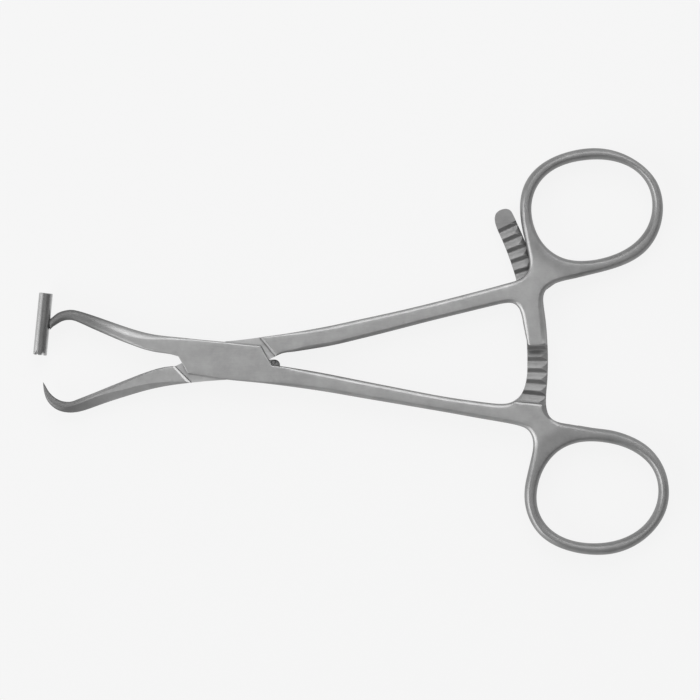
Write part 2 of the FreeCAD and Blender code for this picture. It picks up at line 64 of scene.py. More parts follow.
# Outlines of the two forgings as seen from above, anticlockwise, and of the
# ring bores, clockwise, so that the steel is always on the left. Each point is
# (x, y, edge, roundness): how far the worked edge reaches inwards, and its form,
# from a planed facet (-1) by way of a flat bevel (0) to a full round (1).
BOX_HALF = {
    "jaw_inner_edge": [
        *even(1, 1, (-38.72, 6.88), (-38.24, 7.41), (-37.47, 7.93), (-36.48, 8.55), (-35.26, 8.95),
              (-33.94, 8.95), (-32.18, 8.35)),
        (-29.53, 7.14, 1, 0.9), (-26.89, 5.99, 0.9, 0.7), (-23.8, 4.67, 0.8, 0.4),
        (-20.72, 3.5, 0.6, 0.1), (-17.63, 2.45, 0.45, 0), (-14.55, 1.81, 0.35, 0),
        (-11.9, 1.41, 0.25, 0), (-10.42, 0.97, 0.25, 0),
    ],
    "cheek_jaw_end": [
        (-10.42, 0.97, 0.1, 0), (-9.34, -0.9, 0.1, 0), (-8.27, -2.8, 0.1, 0),
    ],
    "lower_edge": [
        (-8.27, -2.8, 0.25, 0), (-3.97, -3.48, 0.25, 0), (0.44, -4.14, 0.25, 0),
        (4.85, -4.58, 0.3, 0), (9.7, -5.09, 0.45, 0), (16.31, -5.95, 0.8, 0),
        *even(0.85, 0, (22.92, -6.94), (29.53, -8.09), (36.15, -9.21), (42.76, -10.34),
              (49.37, -11.48), (55.98, -12.67), (61.49, -13.62)),
        (64.8, -14.37, 0.9, 0), (66.45, -15.16, 0.95, 0), (67.4, -16.49, 1, 0),
        (67.75, -18.12, 1, 0), (67.64, -19.88, 1, 0), (67.16, -22.04, 1, 0.3),
        (66.49, -24.8, 1.05, 0.7),
        *even(1.1, 1, (65.91, -27.59), (66.34, -33.45), (69.38, -38.55), (74.4, -41.5),
              (79.77, -42.67), (85.06, -42.53), (90.04, -40.77), (94.2, -37.47), (96.98, -32.89),
              (97.55, -27.59), (96.03, -22.65), (92.89, -18.82), (88.83, -16.5), (84.6, -15.26)),
        (81.11, -14.81, 1, 0.8), (78.02, -14.3, 1, 0.6), (74.94, -13.86, 0.9, 0.4),
        (72.73, -13.31, 0.9, 0.2), (71.41, -12.3, 0.6, 0), (70.84, -10.98, 0.5, 0),
        (70.59, -9.61, 0.6, 0),
    ],
    "ratchet_step": [
        (70.59, -9.61, 0.6, 0), (67, -9.17, 0.6, 0), (63.48, -8.9, 0.6, 0),
    ],
    "shank_upper_edge": [
        (63.48, -8.9, 0.4, 0), (62.37, -9.34, 0.7, 0),
        *even(0.85, 0, (61.05, -9.5), (58.19, -9.32), (54.88, -8.9), (49.37, -8.11),
              (42.76, -6.92), (36.15, -5.62), (29.53, -4.32), (22.92, -3)),
        (17.41, -2.01, 0.7, 0), (14.11, -1.48, 0.45, 0), (12.12, -1.19, 0.3, 0),
        (10.25, -1.06, 0.25, 0),
    ],
    "cheek_shank_end": [
        (10.25, -1.06, 0.25, 0), (9.04, 1.01, 0.4, 0), (7.76, 3.31, 0.4, 0),
    ],
    "upper_edge": [
        (7.76, 3.31, 0.3, 0), (4.19, 3.66, 0.38, 0), (0.66, 4.06, 0.38, 0), (-3.09, 4.43, 0.38, 0),
        (-6.61, 4.76, 0.38, 0), (-10.14, 5.14, 0.6, 0), (-13.22, 5.44, 0.8, 0),
        (-16.31, 5.88, 1.3, 0), (-19.4, 6.63, 1.7, 0), (-22.48, 7.6, 1.7, 0.1),
        (-25.57, 8.68, 1.5, 0.3), (-28.21, 9.61, 1.2, 0.6),
        *even(1, 1, (-30.86, 10.49), (-32.62, 11), (-34.16, 11.24), (-35.59, 11.06),
              (-36.81, 10.67), (-37.8, 10.01), (-38.57, 9.34), (-38.97, 9.01)),
    ],
    "neck_end": [
        (-38.97, 9.01, 1, 1), (-39.1, 7.93, 1, 1), (-38.72, 6.88, 1, 1),
    ],
    "lower_ring_bore": even(1.1, 1, (94.73, -32.07), (92.38, -35.95), (88.77, -38.57),
        (84.6, -39.91), (80.21, -40.19), (75.62, -39.39), (71.32, -36.92), (68.75, -32.57),
        (68.72, -27.59), (70.38, -23.21), (73.28, -19.92), (76.99, -18.17), (80.7, -17.77),
        (84.11, -18.09), (87.44, -18.92), (90.79, -20.58), (93.78, -23.46), (95.25, -27.59)),
}

TENON_HALF = {
    "jaw_outer_edge": [
        (-40.33, -4.67, 0.05, 0.5), (-40.22, -5.99, 0.3, 0.6), (-39.89, -7.58, 0.45, 0.6),
        (-39.23, -8.99, 0.6, 0.6), (-38.35, -9.98, 0.8, 0.5), (-37.25, -10.76, 0.95, 0.3),
        (-35.82, -11.26, 1.15, 0), (-34.16, -11.42, 1.45, -0.6), (-32.4, -11.22, 1.7, -1),
        (-29.97, -10.51, 1.87, -1), (-26.67, -9.32, 1.95, -1), (-22.26, -7.89, 1.6, -1),
        (-17.85, -6.59, 1.4, -1), (-13.44, -5.6, 0.95, -0.5), (-10.14, -5.11, 0.6, 0),
        (-7.49, -4.8, 0.35, 0), (-4.85, -4.54, 0.25, 0), (-2.2, -4.32, 0.25, 0),
        (0, -4.17, 0.25, 0),
    ],
    "tenon_lower_edge": [
        (0, -4.17, 0.25, 0), (5.51, -1.59, 0.25, 0), (11.11, 1.1, 0.25, 0),
    ],
    "shank_lower_edge": [
        (11.11, 1.1, 0.25, 0), (12.34, 1.63, 0.35, 0), (14.33, 1.94, 0.5, 0),
        (16.97, 2.31, 0.8, 0),
        *even(0.85, 0, (22.92, 3.31), (29.53, 4.83), (36.15, 6.48), (42.76, 8.2), (49.37, 9.85),
              (55.98, 11.46), (59.73, 12.36), (61.93, 12.74)),
        (63.37, 12.61, 0.9, 0), (64.42, 11.77, 0.9, 0), (65.02, 10.42, 0.9, 0),
        (65.46, 8.33, 0.9, 0), (65.92, 5.91, 0.85, 0), (66.34, 4.1, 0.6, 0),
    ],
    "bar_end": [
        (66.34, 4.1, 0.5, 0), (66.6, 3.48, 0.4, 0), (67.27, 3.22, 0.4, 0), (68.65, 3.17, 0.4, 0),
        (70.04, 3.24, 0.6, 0), (70.68, 3.53, 0.8, 0), (70.79, 4.14, 1.4, 0),
    ],
    "ring_outer_edge": [
        (70.79, 4.14, 1.4, 0), (70.73, 5.47, 1.55, 0), (70.55, 7.67, 1.55, 0),
        (70.24, 10.31, 1.5, 0), (69.93, 12.52, 1.35, 0), (69.87, 13.84, 1.2, 0),
        (70.18, 15.1, 1.1, 0), (71.15, 16.24, 1, 0), (72.73, 17.1, 1, 0), (75.82, 17.96, 1, 0),
        (79.78, 18.87, 1, 0.3), (83.75, 19.86, 1, 0.6),
        *even(1.1, 1, (88.16, 21.36), (92.62, 24.3), (95.48, 28.94), (96.28, 34.34),
              (94.88, 39.51), (91.42, 43.36), (87.24, 45.73), (82.86, 46.79), (78.49, 46.68),
              (74.13, 45.65), (69.75, 43.5), (66.17, 39.61), (64.81, 34.34)),
        (64.84, 32.58, 1.1, 0.8), (65.08, 30.48, 1, 0.5), (65.64, 27.62, 1, 0.3),
        (66.3, 24.64, 0.9, 0.2), (66.78, 22.22, 0.9, 0.1), (66.8, 20.63, 0.8, 0),
        (66.25, 19.35, 0.7, 0), (65.19, 18.29, 0.7, 0), (63.81, 17.61, 0.8, 0),
        *even(0.85, 0, (61.93, 17.06), (59.29, 16.33), (55.98, 15.45), (49.37, 13.75),
              (42.76, 12.1), (36.15, 10.56), (29.53, 9.12), (22.92, 7.69)),
        (17.41, 6.66, 0.7, 0), (13, 5.93, 0.45, 0), (8.6, 5.31, 0.3, 0), (4.19, 4.72, 0.25, 0),
        (0, 4.28, 0.25, 0),
    ],
    "tenon_upper_edge": [
        (0, 4.28, 0.25, 0), (-5.73, 1.43, 0.25, 0), (-11.11, -1.17, 0.25, 0),
    ],
    "jaw_inner_edge": [
        (-11.11, -1.17, 0.25, 0), (-12.78, -1.28, 0.3, 0), (-15.43, -1.85, 0.35, 0),
        (-18.07, -2.71, 0.4, -0.5), (-21.16, -3.88, 0.5, -1), (-24.68, -5.29, 0.6, -1),
        (-28.21, -6.72, 0.65, -1), (-30.86, -7.78, 0.65, -1), (-32.62, -8.46, 0.65, -1),
        (-34.16, -8.99, 0.65, -0.6), (-35.48, -9.01, 0.6, 0), (-36.59, -8.73, 0.6, 0),
        (-37.69, -8.13, 0.6, 0), (-38.68, -7.25, 0.5, 0), (-39.45, -6.17, 0.4, 0.3),
        (-40.05, -5.09, 0.2, 0.5), (-40.33, -4.67, 0.05, 0.5),
    ],
    "upper_ring_bore": even(1.1, 1, (93.02, 29.84), (90.32, 26.23), (86.7, 23.89), (82.74, 22.55),
        (78.49, 22.02), (73.99, 22.77), (70.16, 25.53), (67.9, 29.69), (67.34, 34.34),
        (68.73, 38.68), (71.76, 41.81), (75.39, 43.48), (78.93, 44.19), (82.43, 44.36),
        (86.14, 43.82), (89.94, 42.12), (92.91, 38.79), (93.97, 34.34)),
}

# Below the middle plane the upper half has no bar, and its edge runs straight on
BACK_JOIN = [(62.81, 13.09, 0.8, 0), (66.34, 13.95, 0.8, 0), (69.0, 14.8, 0.8, 0),
             (71.0, 15.95, 0.9, 0)]
# It leaves the shank's lower edge after so many points, and skips so many of the ring's
BACK_LEAVES, BACK_RETURNS = 11, 8

# Depth of the instrument in Z along X, and of the hook along Y
DEPTH_ALONG_X = [
    (-43, 2.3), (-38, 2.3), (-34.5, 2.55), (-31, 3.0), (-27, 3.5), (-22, 4.1), (-17, 4.75),
    (-12.5, 5.35), (-10, 5.6), (10, 5.6), (13.5, 5.3), (20, 4.95), (30, 4.7), (42, 4.5),
    (54, 4.4), (100, 4.4),
]
HOOK_DEPTH_ALONG_Y = [(-10.5, 2.5), (-9.9, 2.4), (-9.1, 2.1), (-8.1, 1.7), (-6.9, 1.15),
                      (-4.6, 0.12)]


def distance(name, description, mm):
    """A length that a user can change, with its default in millimetres."""
    return FloatProperty(name=name, description=description, default=mm * MM, unit="LENGTH")


def direction(name, description, degrees):
    """An angle that a user can change, with its default in degrees."""
    return FloatProperty(name=name, description=description, default=math.radians(degrees),
                         subtype="ANGLE")


def grey(name, description, tone):
    """A colour that a user can change, grey by default."""
    return FloatVectorProperty(name=name, description=description, default=(tone, tone, tone),
                               subtype="COLOR")


class BoxLockSizes(bpy.types.PropertyGroup):
    depth: distance("Depth", "Depth of the box lock in Z", 5.6)
    slot_depth: distance("Slot depth", "Depth of the slot between the cheeks", 2.4)
    slot_radius: distance("Slot radius", "Reach of the slot from the pivot", 12.3)
    tenon_play: distance("Tenon play", "Clearance above and below the tenon", 0.05)
    shoulder_break: distance("Shoulder break", "Bevel along the tenon's shoulders", 0.56)
    heel_reach: distance("Heel reach", "Radius of the rounded heel of the tenon", 11.95)
    pin_radius: distance("Pin radius", "Radius of the lock pin", 1.6)
    pin_play: distance("Pin play", "Clearance of the pin in the tenon", 0.05)


class RatchetSizes(bpy.types.PropertyGroup):
    inner_radius: distance("Inner radius", "Inner radius of the bars about the pivot", 66.5)
    outer_radius: distance("Outer radius", "Outer radius of the bars about the pivot", 71.0)
    play: distance("Play", "Clearance of the bars in the other half", 0.25)
    face_gap: distance("Face gap", "Clearance between the two rows of teeth", 0.1)
    pitch: direction("Pitch", "Angle from one tooth to the next", 2.09)
    tooth_depth: distance("Tooth depth", "Depth of the saw teeth", 0.7)
    edge_bevel: distance("Edge bevel", "Bevel along the outer edge of the long bar", 1.5)
    long_bar_end: direction("Long bar end", "Angle at which the long bar ends", 29)
    long_teeth_start: direction("Long bar teeth", "Angle of the long bar's first tooth", -7.6)
    long_teeth: IntProperty(name="Long bar tooth count", description="Teeth on the long bar",
                            default=16)
    short_teeth_start: direction("Short bar teeth", "Angle of the short bar's first tooth", 3.4)
    short_teeth: IntProperty(name="Short bar tooth count", description="Teeth on the short bar",
                             default=5)


class GuideTubeSizes(bpy.types.PropertyGroup):
    outer: distance("Outside diameter", "Outside diameter of the wire guide", 3.05)
    bore: distance("Bore", "Bore that the wire passes through", 1.8)
    length: distance("Length", "Length of the tube", 13.7)
    foot: FloatVectorProperty(name="Foot", description="Centre of the toothed end",
                              default=(-41.02 * MM, 1.28 * MM, 2.8 * MM), subtype="TRANSLATION")
    course: direction("Course", "Direction of the tube in plan", 84.3)
    notches: IntProperty(name="Crown notches", description="Notches in the toothed end", default=6)
    notch_depth: distance("Notch depth", "Depth of the crown's notches", 0.8)
    notch_width: distance("Notch width", "Width of the crown's notches", 0.9)
    rim_break: distance("Rim break", "Bevel on the tube's rims", 0.12)


class FinishSettings(bpy.types.PropertyGroup):
    satin_colour: grey("Satin steel", "Colour of the forgings", 0.355)
    tube_colour: grey("Tube steel", "Colour of the wire guide", 0.18)
    edge_length: distance("Mesh spacing", "Distance between points along the outlines", 0.4)


class StageSettings(bpy.types.PropertyGroup):
    floor_colour: grey("Floor", "Colour of the floor", 0.86)
    floor_size: FloatProperty(name="Floor size", description="Width of the floor", default=6.0,
                              unit="LENGTH")
    view_width: distance("View width", "Width that the camera takes in", 154.28)
    view_centre: FloatVectorProperty(name="View centre", description="Point below the camera",
                                     default=(27.33 * MM, 2.38 * MM, 2.8 * MM),
                                     subtype="TRANSLATION")
    lens: FloatProperty(name="Lens", description="Focal length in millimetres", default=200.0)


def spline_through(knots, spacing):
    """Samples of a smooth curve through the knots, about spacing apart in plan."""
    knots = np.array(knots, float)
    count = len(knots)
    if count == 2:
        steps = max(1, round(np.linalg.norm(knots[1, :2] - knots[0, :2]) / spacing))
        share = np.linspace(0, 1, steps + 1)[:, None]
        return knots[0] * (1 - share) + knots[1] * share
    gaps = np.linalg.norm(np.diff(knots[:, :2], axis=0), axis=1)
    at = np.concatenate([[0], np.cumsum(gaps)])
    system = np.zeros((count, count))
    right = np.zeros(knots.shape)
    system[0, 0] = 1
    system[-1, -1] = 1
    for row in range(1, count - 1):
        system[row, row - 1] = gaps[row - 1]
        system[row, row] = 2 * (gaps[row - 1] + gaps[row])
        system[row, row + 1] = gaps[row]
        right[row] = 6 * ((knots[row + 1] - knots[row]) / gaps[row]
                          - (knots[row] - knots[row - 1]) / gaps[row - 1])
    bend = np.linalg.solve(system, right)
    where = np.linspace(0, at[-1], max(2, round(at[-1] / spacing) + 1))
    left = np.clip(np.searchsorted(at, where, side="right") - 1, 0, count - 2)
    gap = gaps[left][:, None]
    before = (at[left + 1] - where)[:, None]
    after = (where - at[left])[:, None]
    return (bend[left] * before ** 3 + bend[left + 1] * after ** 3) / (6 * gap) \
        + (knots[left] / gap - bend[left] * gap / 6) * before \
        + (knots[left + 1] / gap - bend[left + 1] * gap / 6) * after


def ring_through(knots, spacing):
    """Samples of a smooth closed curve through the knots: the second of three laps."""
    samples = spline_through(knots * 3 + knots[:1], spacing)
    lap = (len(samples) - 1) // 3
    return samples[lap:2 * lap]


def outline_of(runs, spacing):
    """One closed outline from runs that share their end points, with a corner at each."""
    return np.concatenate([spline_through(run, spacing)[:-1] for run in runs])


# Least value of 1 + the cosine of a corner, so that a sharp corner isn't drawn out too far
SHARPEST = 0.35


def left_normals(points):
    """Normals to the left of a closed outline, lengthened at corners to keep offsets parallel."""
    ahead = np.roll(points, -1, axis=0) - points
    ahead /= np.maximum(np.linalg.norm(ahead, axis=1), 1e-9)[:, None]
    left = np.stack([-ahead[:, 1], ahead[:, 0]], axis=1)
    before = np.roll(left, 1, axis=0)
    lengthening = np.maximum(1 + np.sum(left * before, axis=1), SHARPEST)
    return (left + before) / lengthening[:, None]


FAR = 1e3               # room where no wall is met, in mm
WALL_ITSELF = 0.05      # walls nearer than this are the point's own
TINY = 1e-12
END_SLACK = 0.001       # share of a wall by which a ray may pass its ends


def room_inside(points, normals, walls):
    """Distance from each point, along its normal, to the nearest wall on the far side."""
    starts = np.concatenate(walls)
    ends = np.concatenate([np.roll(wall, -1, axis=0) for wall in walls])
    along = ends - starts
    room = np.full(len(points), FAR)
    for number, (point, normal) in enumerate(zip(points, normals)):
        across = normal[0] * along[:, 1] - normal[1] * along[:, 0]
        across[np.abs(across) < TINY] = TINY
        offset = starts - point
        reach = (offset[:, 0] * along[:, 1] - offset[:, 1] * along[:, 0]) / across
        place = (offset[:, 0] * normal[1] - offset[:, 1] * normal[0]) / across
        hits = reach[(reach > WALL_ITSELF) & (place > -END_SLACK) & (place < 1 + END_SLACK)]
        if len(hits):
            room[number] = hits.min()
    return room


DEPTH_X = np.arange(-46, 100, 0.5)      # where the depth is looked up along X
DEPTH_BLEND = 7                         # neighbours averaged, so that one slope runs into the next
HOOK_START = -35.5                      # the hook lies at lower X than this


def depth_at(points):
    """Depth in Z of the instrument at points in plan."""
    stations = np.array(DEPTH_ALONG_X)
    depths = np.interp(DEPTH_X, stations[:, 0], stations[:, 1])
    padded = np.pad(depths, DEPTH_BLEND // 2, mode="edge")
    smooth = np.convolve(padded, np.ones(DEPTH_BLEND) / DEPTH_BLEND, mode="valid")
    depth = np.interp(points[:, 0], DEPTH_X, smooth)
    hook = np.array(HOOK_DEPTH_ALONG_Y)
    hook_depth = np.interp(points[:, 1], hook[:, 0], hook[:, 1])
    on_hook = (points[:, 0] < HOOK_START) & (points[:, 1] < 0)
    return np.where(on_hook, np.minimum(depth, hook_depth), depth)


def inside(points, loops):
    """Whether each point lies inside the outline and outside the bores."""
    odd = np.zeros(len(points), bool)
    for loop in loops:
        for (x0, y0), (x1, y1) in zip(loop, np.roll(loop, -1, axis=0)):
            if y0 == y1:
                continue
            crosses = (points[:, 1] >= y0) != (points[:, 1] >= y1)
            at = (x1 - x0) * (points[:, 1] - y0) / (y1 - y0) + x0
            odd ^= crosses & (points[:, 0] < at)
    return odd


# Shares of the way across a worked edge, and up it, for a bevel, a planed facet and a round
BEVEL_IN = np.array([0, 0.04, 0.12, 0.24, 0.38, 0.63, 0.88, 1.0])
BEVEL_UP = np.array([0, 0.152, 0.353, 0.549, 0.707, 0.866, 0.979, 1.0])
FACET_UP = np.array([0, 0.09, 0.18, 0.29, 0.42, 0.655, 0.885, 1.0])
ROUND_IN = 1 - np.cos(np.linspace(0, math.pi / 2, 8))
ROUND_UP = np.sin(np.linspace(0, math.pi / 2, 8))

LEAST_EDGE = 0.03       # width of the narrowest worked edge, in mm
ROOM_SHARE = 0.72       # most that a bevel takes of the room across the steel
ROUND_SHARE = 0.26      # how much less than that a full round takes
EVEN_PASSES = 5         # times that the widths along an edge are evened out
BEVEL_RISE = 0.95       # height of a bevel over its width
WAIST = 0.05            # height of the upright band at the middle plane, in mm


def edge_loops(loop, walls, middle, side):
    """Loops of 3D points from the middle plane over the worked edge to the flat face."""
    plan = loop[:, :2]
    normals = left_normals(plan)
    unit = normals / np.linalg.norm(normals, axis=1)[:, None]
    roundness = np.clip(loop[:, 3], 0, 1)
    facet = np.clip(-loop[:, 3], 0, 1)
    edge = np.minimum(np.clip(loop[:, 2], LEAST_EDGE, None),
                      (ROOM_SHARE - ROUND_SHARE * roundness) * room_inside(plan, unit, walls))
    for _ in range(EVEN_PASSES):
        edge = np.minimum(edge, (np.roll(edge, 1) + edge + np.roll(edge, -1)) / 3)
    most = depth_at(plan) / 2 - WAIST
    drop = np.minimum(BEVEL_RISE * edge, most) * (1 - roundness) + most * roundness
    rings = [np.column_stack([plan, np.full(len(plan), middle)])]
    for bevel_in, bevel_up, facet_up, round_in, round_up in zip(
            BEVEL_IN, BEVEL_UP, FACET_UP, ROUND_IN, ROUND_UP):
        flat_up = bevel_up * (1 - facet) + facet_up * facet
        reach = (bevel_in * (1 - roundness) + round_in * roundness) * edge
        rise = (flat_up * (1 - roundness) + round_up * roundness) * drop
        spot = plan + normals * reach[:, None]
        height = depth_at(spot) / 2 - drop + rise
        rings.append(np.column_stack([spot, middle + side * height]))
    return rings


FACE_GRID = 1.1         # spacing of the points inside a flat face, in mm
GRID_MARGIN = 0.45      # share of that spacing which they keep from the outlines
CDT_NEAR = 1e-5         # points nearer than this are one, in mm


def fill_between(mesh, loops, corners, height, grid):
    """Triangles inside the outline and outside the bores, with a grid of points between."""
    points = np.concatenate(loops)
    edges = []
    first = 0
    for loop in loops:
        count = len(loop)
        edges += [(first + n, first + (n + 1) % count) for n in range(count)]
        first += count
    if grid:
        low, high = points.min(axis=0), points.max(axis=0)
        mesh_x, mesh_y = np.meshgrid(np.arange(low[0], high[0], grid),
                                     np.arange(low[1], high[1], grid))
        spots = np.column_stack([mesh_x.ravel(), mesh_y.ravel()])
        spots = spots[inside(spots, loops)]
        gap = np.array([np.min(np.sum((points - spot) ** 2, axis=1)) for spot in spots])
        points = np.concatenate([points, spots[gap > (GRID_MARGIN * grid) ** 2]])
    found = delaunay_2d_cdt([Vector(point) for point in points], edges, [], 0, CDT_NEAR, True)
    places = np.array([list(place) for place in found[0]])
    heights = height(places)
    made = []
    for number, sources in enumerate(found[3]):
        known = [corners[source] for source in sources if source < len(corners)]
        made.append(known[0] if known else mesh.verts.new((*places[number], heights[number])))
    faces = np.array([list(face) for face in found[2]])
    centres = places[faces].mean(axis=1)
    for face, keep in zip(faces, inside(centres, loops)):
        if keep and len({made[n] for n in face}) == 3:
            mesh.faces.new([made[n] for n in face])


def skin(mesh, rows, closed=False):
    """Faces between each row of points and the next and, if closed, back to the first row."""
    for row, following in zip(rows, rows[1:] + rows[:1] if closed else rows[1:]):
        for n in range(len(row)):
            after = (n + 1) % len(row)
            mesh.faces.new([row[n], row[after], following[after], following[n]])


def forged_layer(name, runs, bores, side, spacing, middle):
    """The half of a forging above (side 1) or below (side -1) its middle plane."""
    loops = [outline_of(runs, spacing)] + [ring_through(bore, spacing) for bore in bores]
    walls = [loop[:, :2] for loop in loops]
    mesh = bmesh.new()
    middle_corners, face_corners, face_loops = [], [], []
    for loop in loops:
        rings = edge_loops(loop, walls, middle, side)
        rows = [[mesh.verts.new(point) for point in ring] for ring in rings]
        skin(mesh, rows)
        middle_corners += rows[0]
        face_corners += rows[-1]
        face_loops.append(rings[-1][:, :2])
    fill_between(mesh, walls, middle_corners, lambda spots: np.full(len(spots), middle), 0)
    fill_between(mesh, face_loops, face_corners,
                 lambda spots: middle + side * depth_at(spots) / 2, FACE_GRID)
    return object_from(mesh, name)


def placed(name, data):
    """A new object in the scene."""
    made = bpy.data.objects.new(name, data)
    bpy.context.scene.collection.objects.link(made)
    return made


def data_from(mesh, name):
    """Mesh data from a drawn mesh, which is freed."""
    data = bpy.data.meshes.new(name)
    mesh.to_mesh(data)
    mesh.free()
    return data


def object_from(mesh, name):
    """An object in metres from a closed mesh that was drawn in millimetres."""
    bmesh.ops.recalc_face_normals(mesh, faces=mesh.faces)
    bmesh.ops.scale(mesh, vec=(MM, MM, MM), verts=mesh.verts)
    return placed(name, data_from(mesh, name))


def solid(name, rows):
    """A solid through rows of points, with a face over the first row and over the last."""
    mesh = bmesh.new()
    rows = [[mesh.verts.new(point) for point in row] for row in rows]
    skin(mesh, rows)
    mesh.faces.new(rows[0])
    mesh.faces.new(rows[-1])
    return object_from(mesh, name)


def arc_solid(name, stations):
    """A solid about the pivot through stations: an angle in degrees, and a section of
    (radius, z)."""
    rows = []
    for angle, section in stations:
        turn = math.radians(angle)
        rows.append([(r * math.cos(turn), r * math.sin(turn), z) for r, z in section])
    return solid(name, rows)


def prism(name, loops):
    """A solid through loops of (x, y) and their heights, from the lowest to the highest."""
    return solid(name, [[(x, y, z) for x, y in loop] for z, loop in loops])


AROUND = 144            # points round a bore and round the tube
CLEAR = 1               # how far a cutter reaches past the steel, in mm
LEAST_FACES = 8         # a piece with fewer faces after a cut was lost
CREASE = math.radians(18)       # edges that turn by more than this stay crisp


def circle(radius, count=AROUND):
    return [(radius * math.cos(2 * math.pi * n / count), radius * math.sin(2 * math.pi * n / count))
            for n in range(count)]


def work_in_modifiers(piece):
    """Puts the piece's modifiers into its mesh for good."""
    bpy.context.view_layer.update()
    evaluated = piece.evaluated_get(bpy.context.evaluated_depsgraph_get())
    data = bpy.data.meshes.new_from_object(evaluated)
    piece.modifiers.clear()
    piece.data = data


def carve(piece, cutter):
    """Cuts the cutter out of the piece and removes the cutter."""
    cut = piece.modifiers.new("cut", "BOOLEAN")
    cut.operation = "DIFFERENCE"
    cut.solver = "EXACT"
    cut.object = cutter
    work_in_modifiers(piece)
    if len(piece.data.polygons) < LEAST_FACES:
        raise RuntimeError("%s was lost as %s was cut out of it" % (piece.name, cutter.name))
    bpy.data.objects.remove(cutter)


def drill(layers, radius, depth):
    """Cuts a round hole at the pivot right through each layer."""
    hole = circle(radius)
    for layer in layers:
        carve(layer, prism("pin_hole", [(-CLEAR, hole), (depth + CLEAR, hole)]))


def joined(name, layers):
    """One object from several, with smooth faces and crisp edges."""
    mesh = bmesh.new()
    for layer in layers:
        mesh.from_mesh(layer.data)
        bpy.data.objects.remove(layer)
    for face in mesh.faces:
        face.smooth = True
    for edge in mesh.edges:
        edge.smooth = len(edge.link_faces) == 2 and edge.calc_face_angle(0) < CREASE
    made = placed(name, data_from(mesh, name))
    made.modifiers.new("weigh", "WEIGHTED_NORMAL").keep_sharp = True
    work_in_modifiers(made)
    return made


# A tooth of the long bar: shares of the way to the next tooth, and down to the root
TOOTH = [(0.01, 0), (0.08, 0.06), (0.22, 0.3), (0.38, 0.66), (0.47, 0.86), (0.54, 0.97),
         (0.6, 1.0), (0.66, 0.93), (0.77, 0.62), (0.87, 0.28), (0.94, 0.07), (0.98, 0)]

# The long bar's cuts: angles at which the row and the bevel start, and the bevel's
# section, in its widths outwards from the outer radius and up from the teeth's crests
ROW_START, ROW_PAST_END = -7.97, 3
BEVEL_START, BEVEL_STEPS = -8.0, 60
BAR_BEVEL = ((-1.25, 0.08), (-0.6, -0.12), (-0.25, -0.3), (0.1, -0.62), (1, -0.62))

# Wall of the narrow ledge that runs on from the long bar's outer edge: angle and radius
LEDGE = ((-7.0, 70.25), (-7.8, 70.25), (-8.35, 70.3), (-8.85, 70.45), (-9.5, 70.95),
         (-9.8, 71.45), (-10.1, 72.0), (-10.3, 72.8), (-10.45, 74.2))
# Sections of what is cut away beside that wall, outwards and up: from the front face,
# from the middle plane, and from the middle plane downwards for the ledge's own bevel
LEDGE_LIP = ((-0.25, 0.05), (0, -0.15))
LEDGE_FLOOR = ((0.1, -0.5), (5, -0.5))
LEDGE_BEVEL = ((0, 0.1), (0.35, -0.25), (0.8, -0.95), (1.3, -1.6), (5, -1.6))

# Tolerances in mm, and least Z of the normal, when faces are picked for another finish, and for
# painted shade on the ledge
NEAR, BESIDE, LOOKS_UP = 0.02, 0.1, 0.3
# Where faces of the ledge are picked for painted shade: from this Z, to this far above the
# middle plane, and from this far inside the bar's outer radius
LEDGE_LOW, LEDGE_HIGH, LEDGE_WIDTH = 0.8, 0.05, 1


def saw_teeth(start, pitch, count, crest, root):
    """(angle, height) along a row of teeth whose steep faces look back towards the start."""
    rows = []
    for tooth in range(count):
        angle = start + tooth * pitch
        rows += [(angle + pitch * along, crest - (crest - root) * down) for along, down in TOOTH]
    return rows


def sizes_in_mm(context):
    """Spacing along the outlines, height of the middle plane, and radii of the bars."""
    scene = context.scene
    return (scene.forceps_finish.edge_length / MM, scene.forceps_lock.depth / 2 / MM,
            scene.forceps_ratchet.inner_radius / MM, scene.forceps_ratchet.outer_radius / MM)


def band(inner, outer, low, high):
    """A plain rectangular section."""
    return [(inner, low), (outer, low), (outer, high), (inner, high)]


def shifted(line, radius, height, scale=1):
    """A section's line laid out from a radius and a height."""
    return [(radius + out * scale, height + up * scale) for out, up in line]


def closed_above(line, top):
    """A section from its lower line, closed at a height above it."""
    return line + [(line[-1][0], top), (line[0][0], top)]


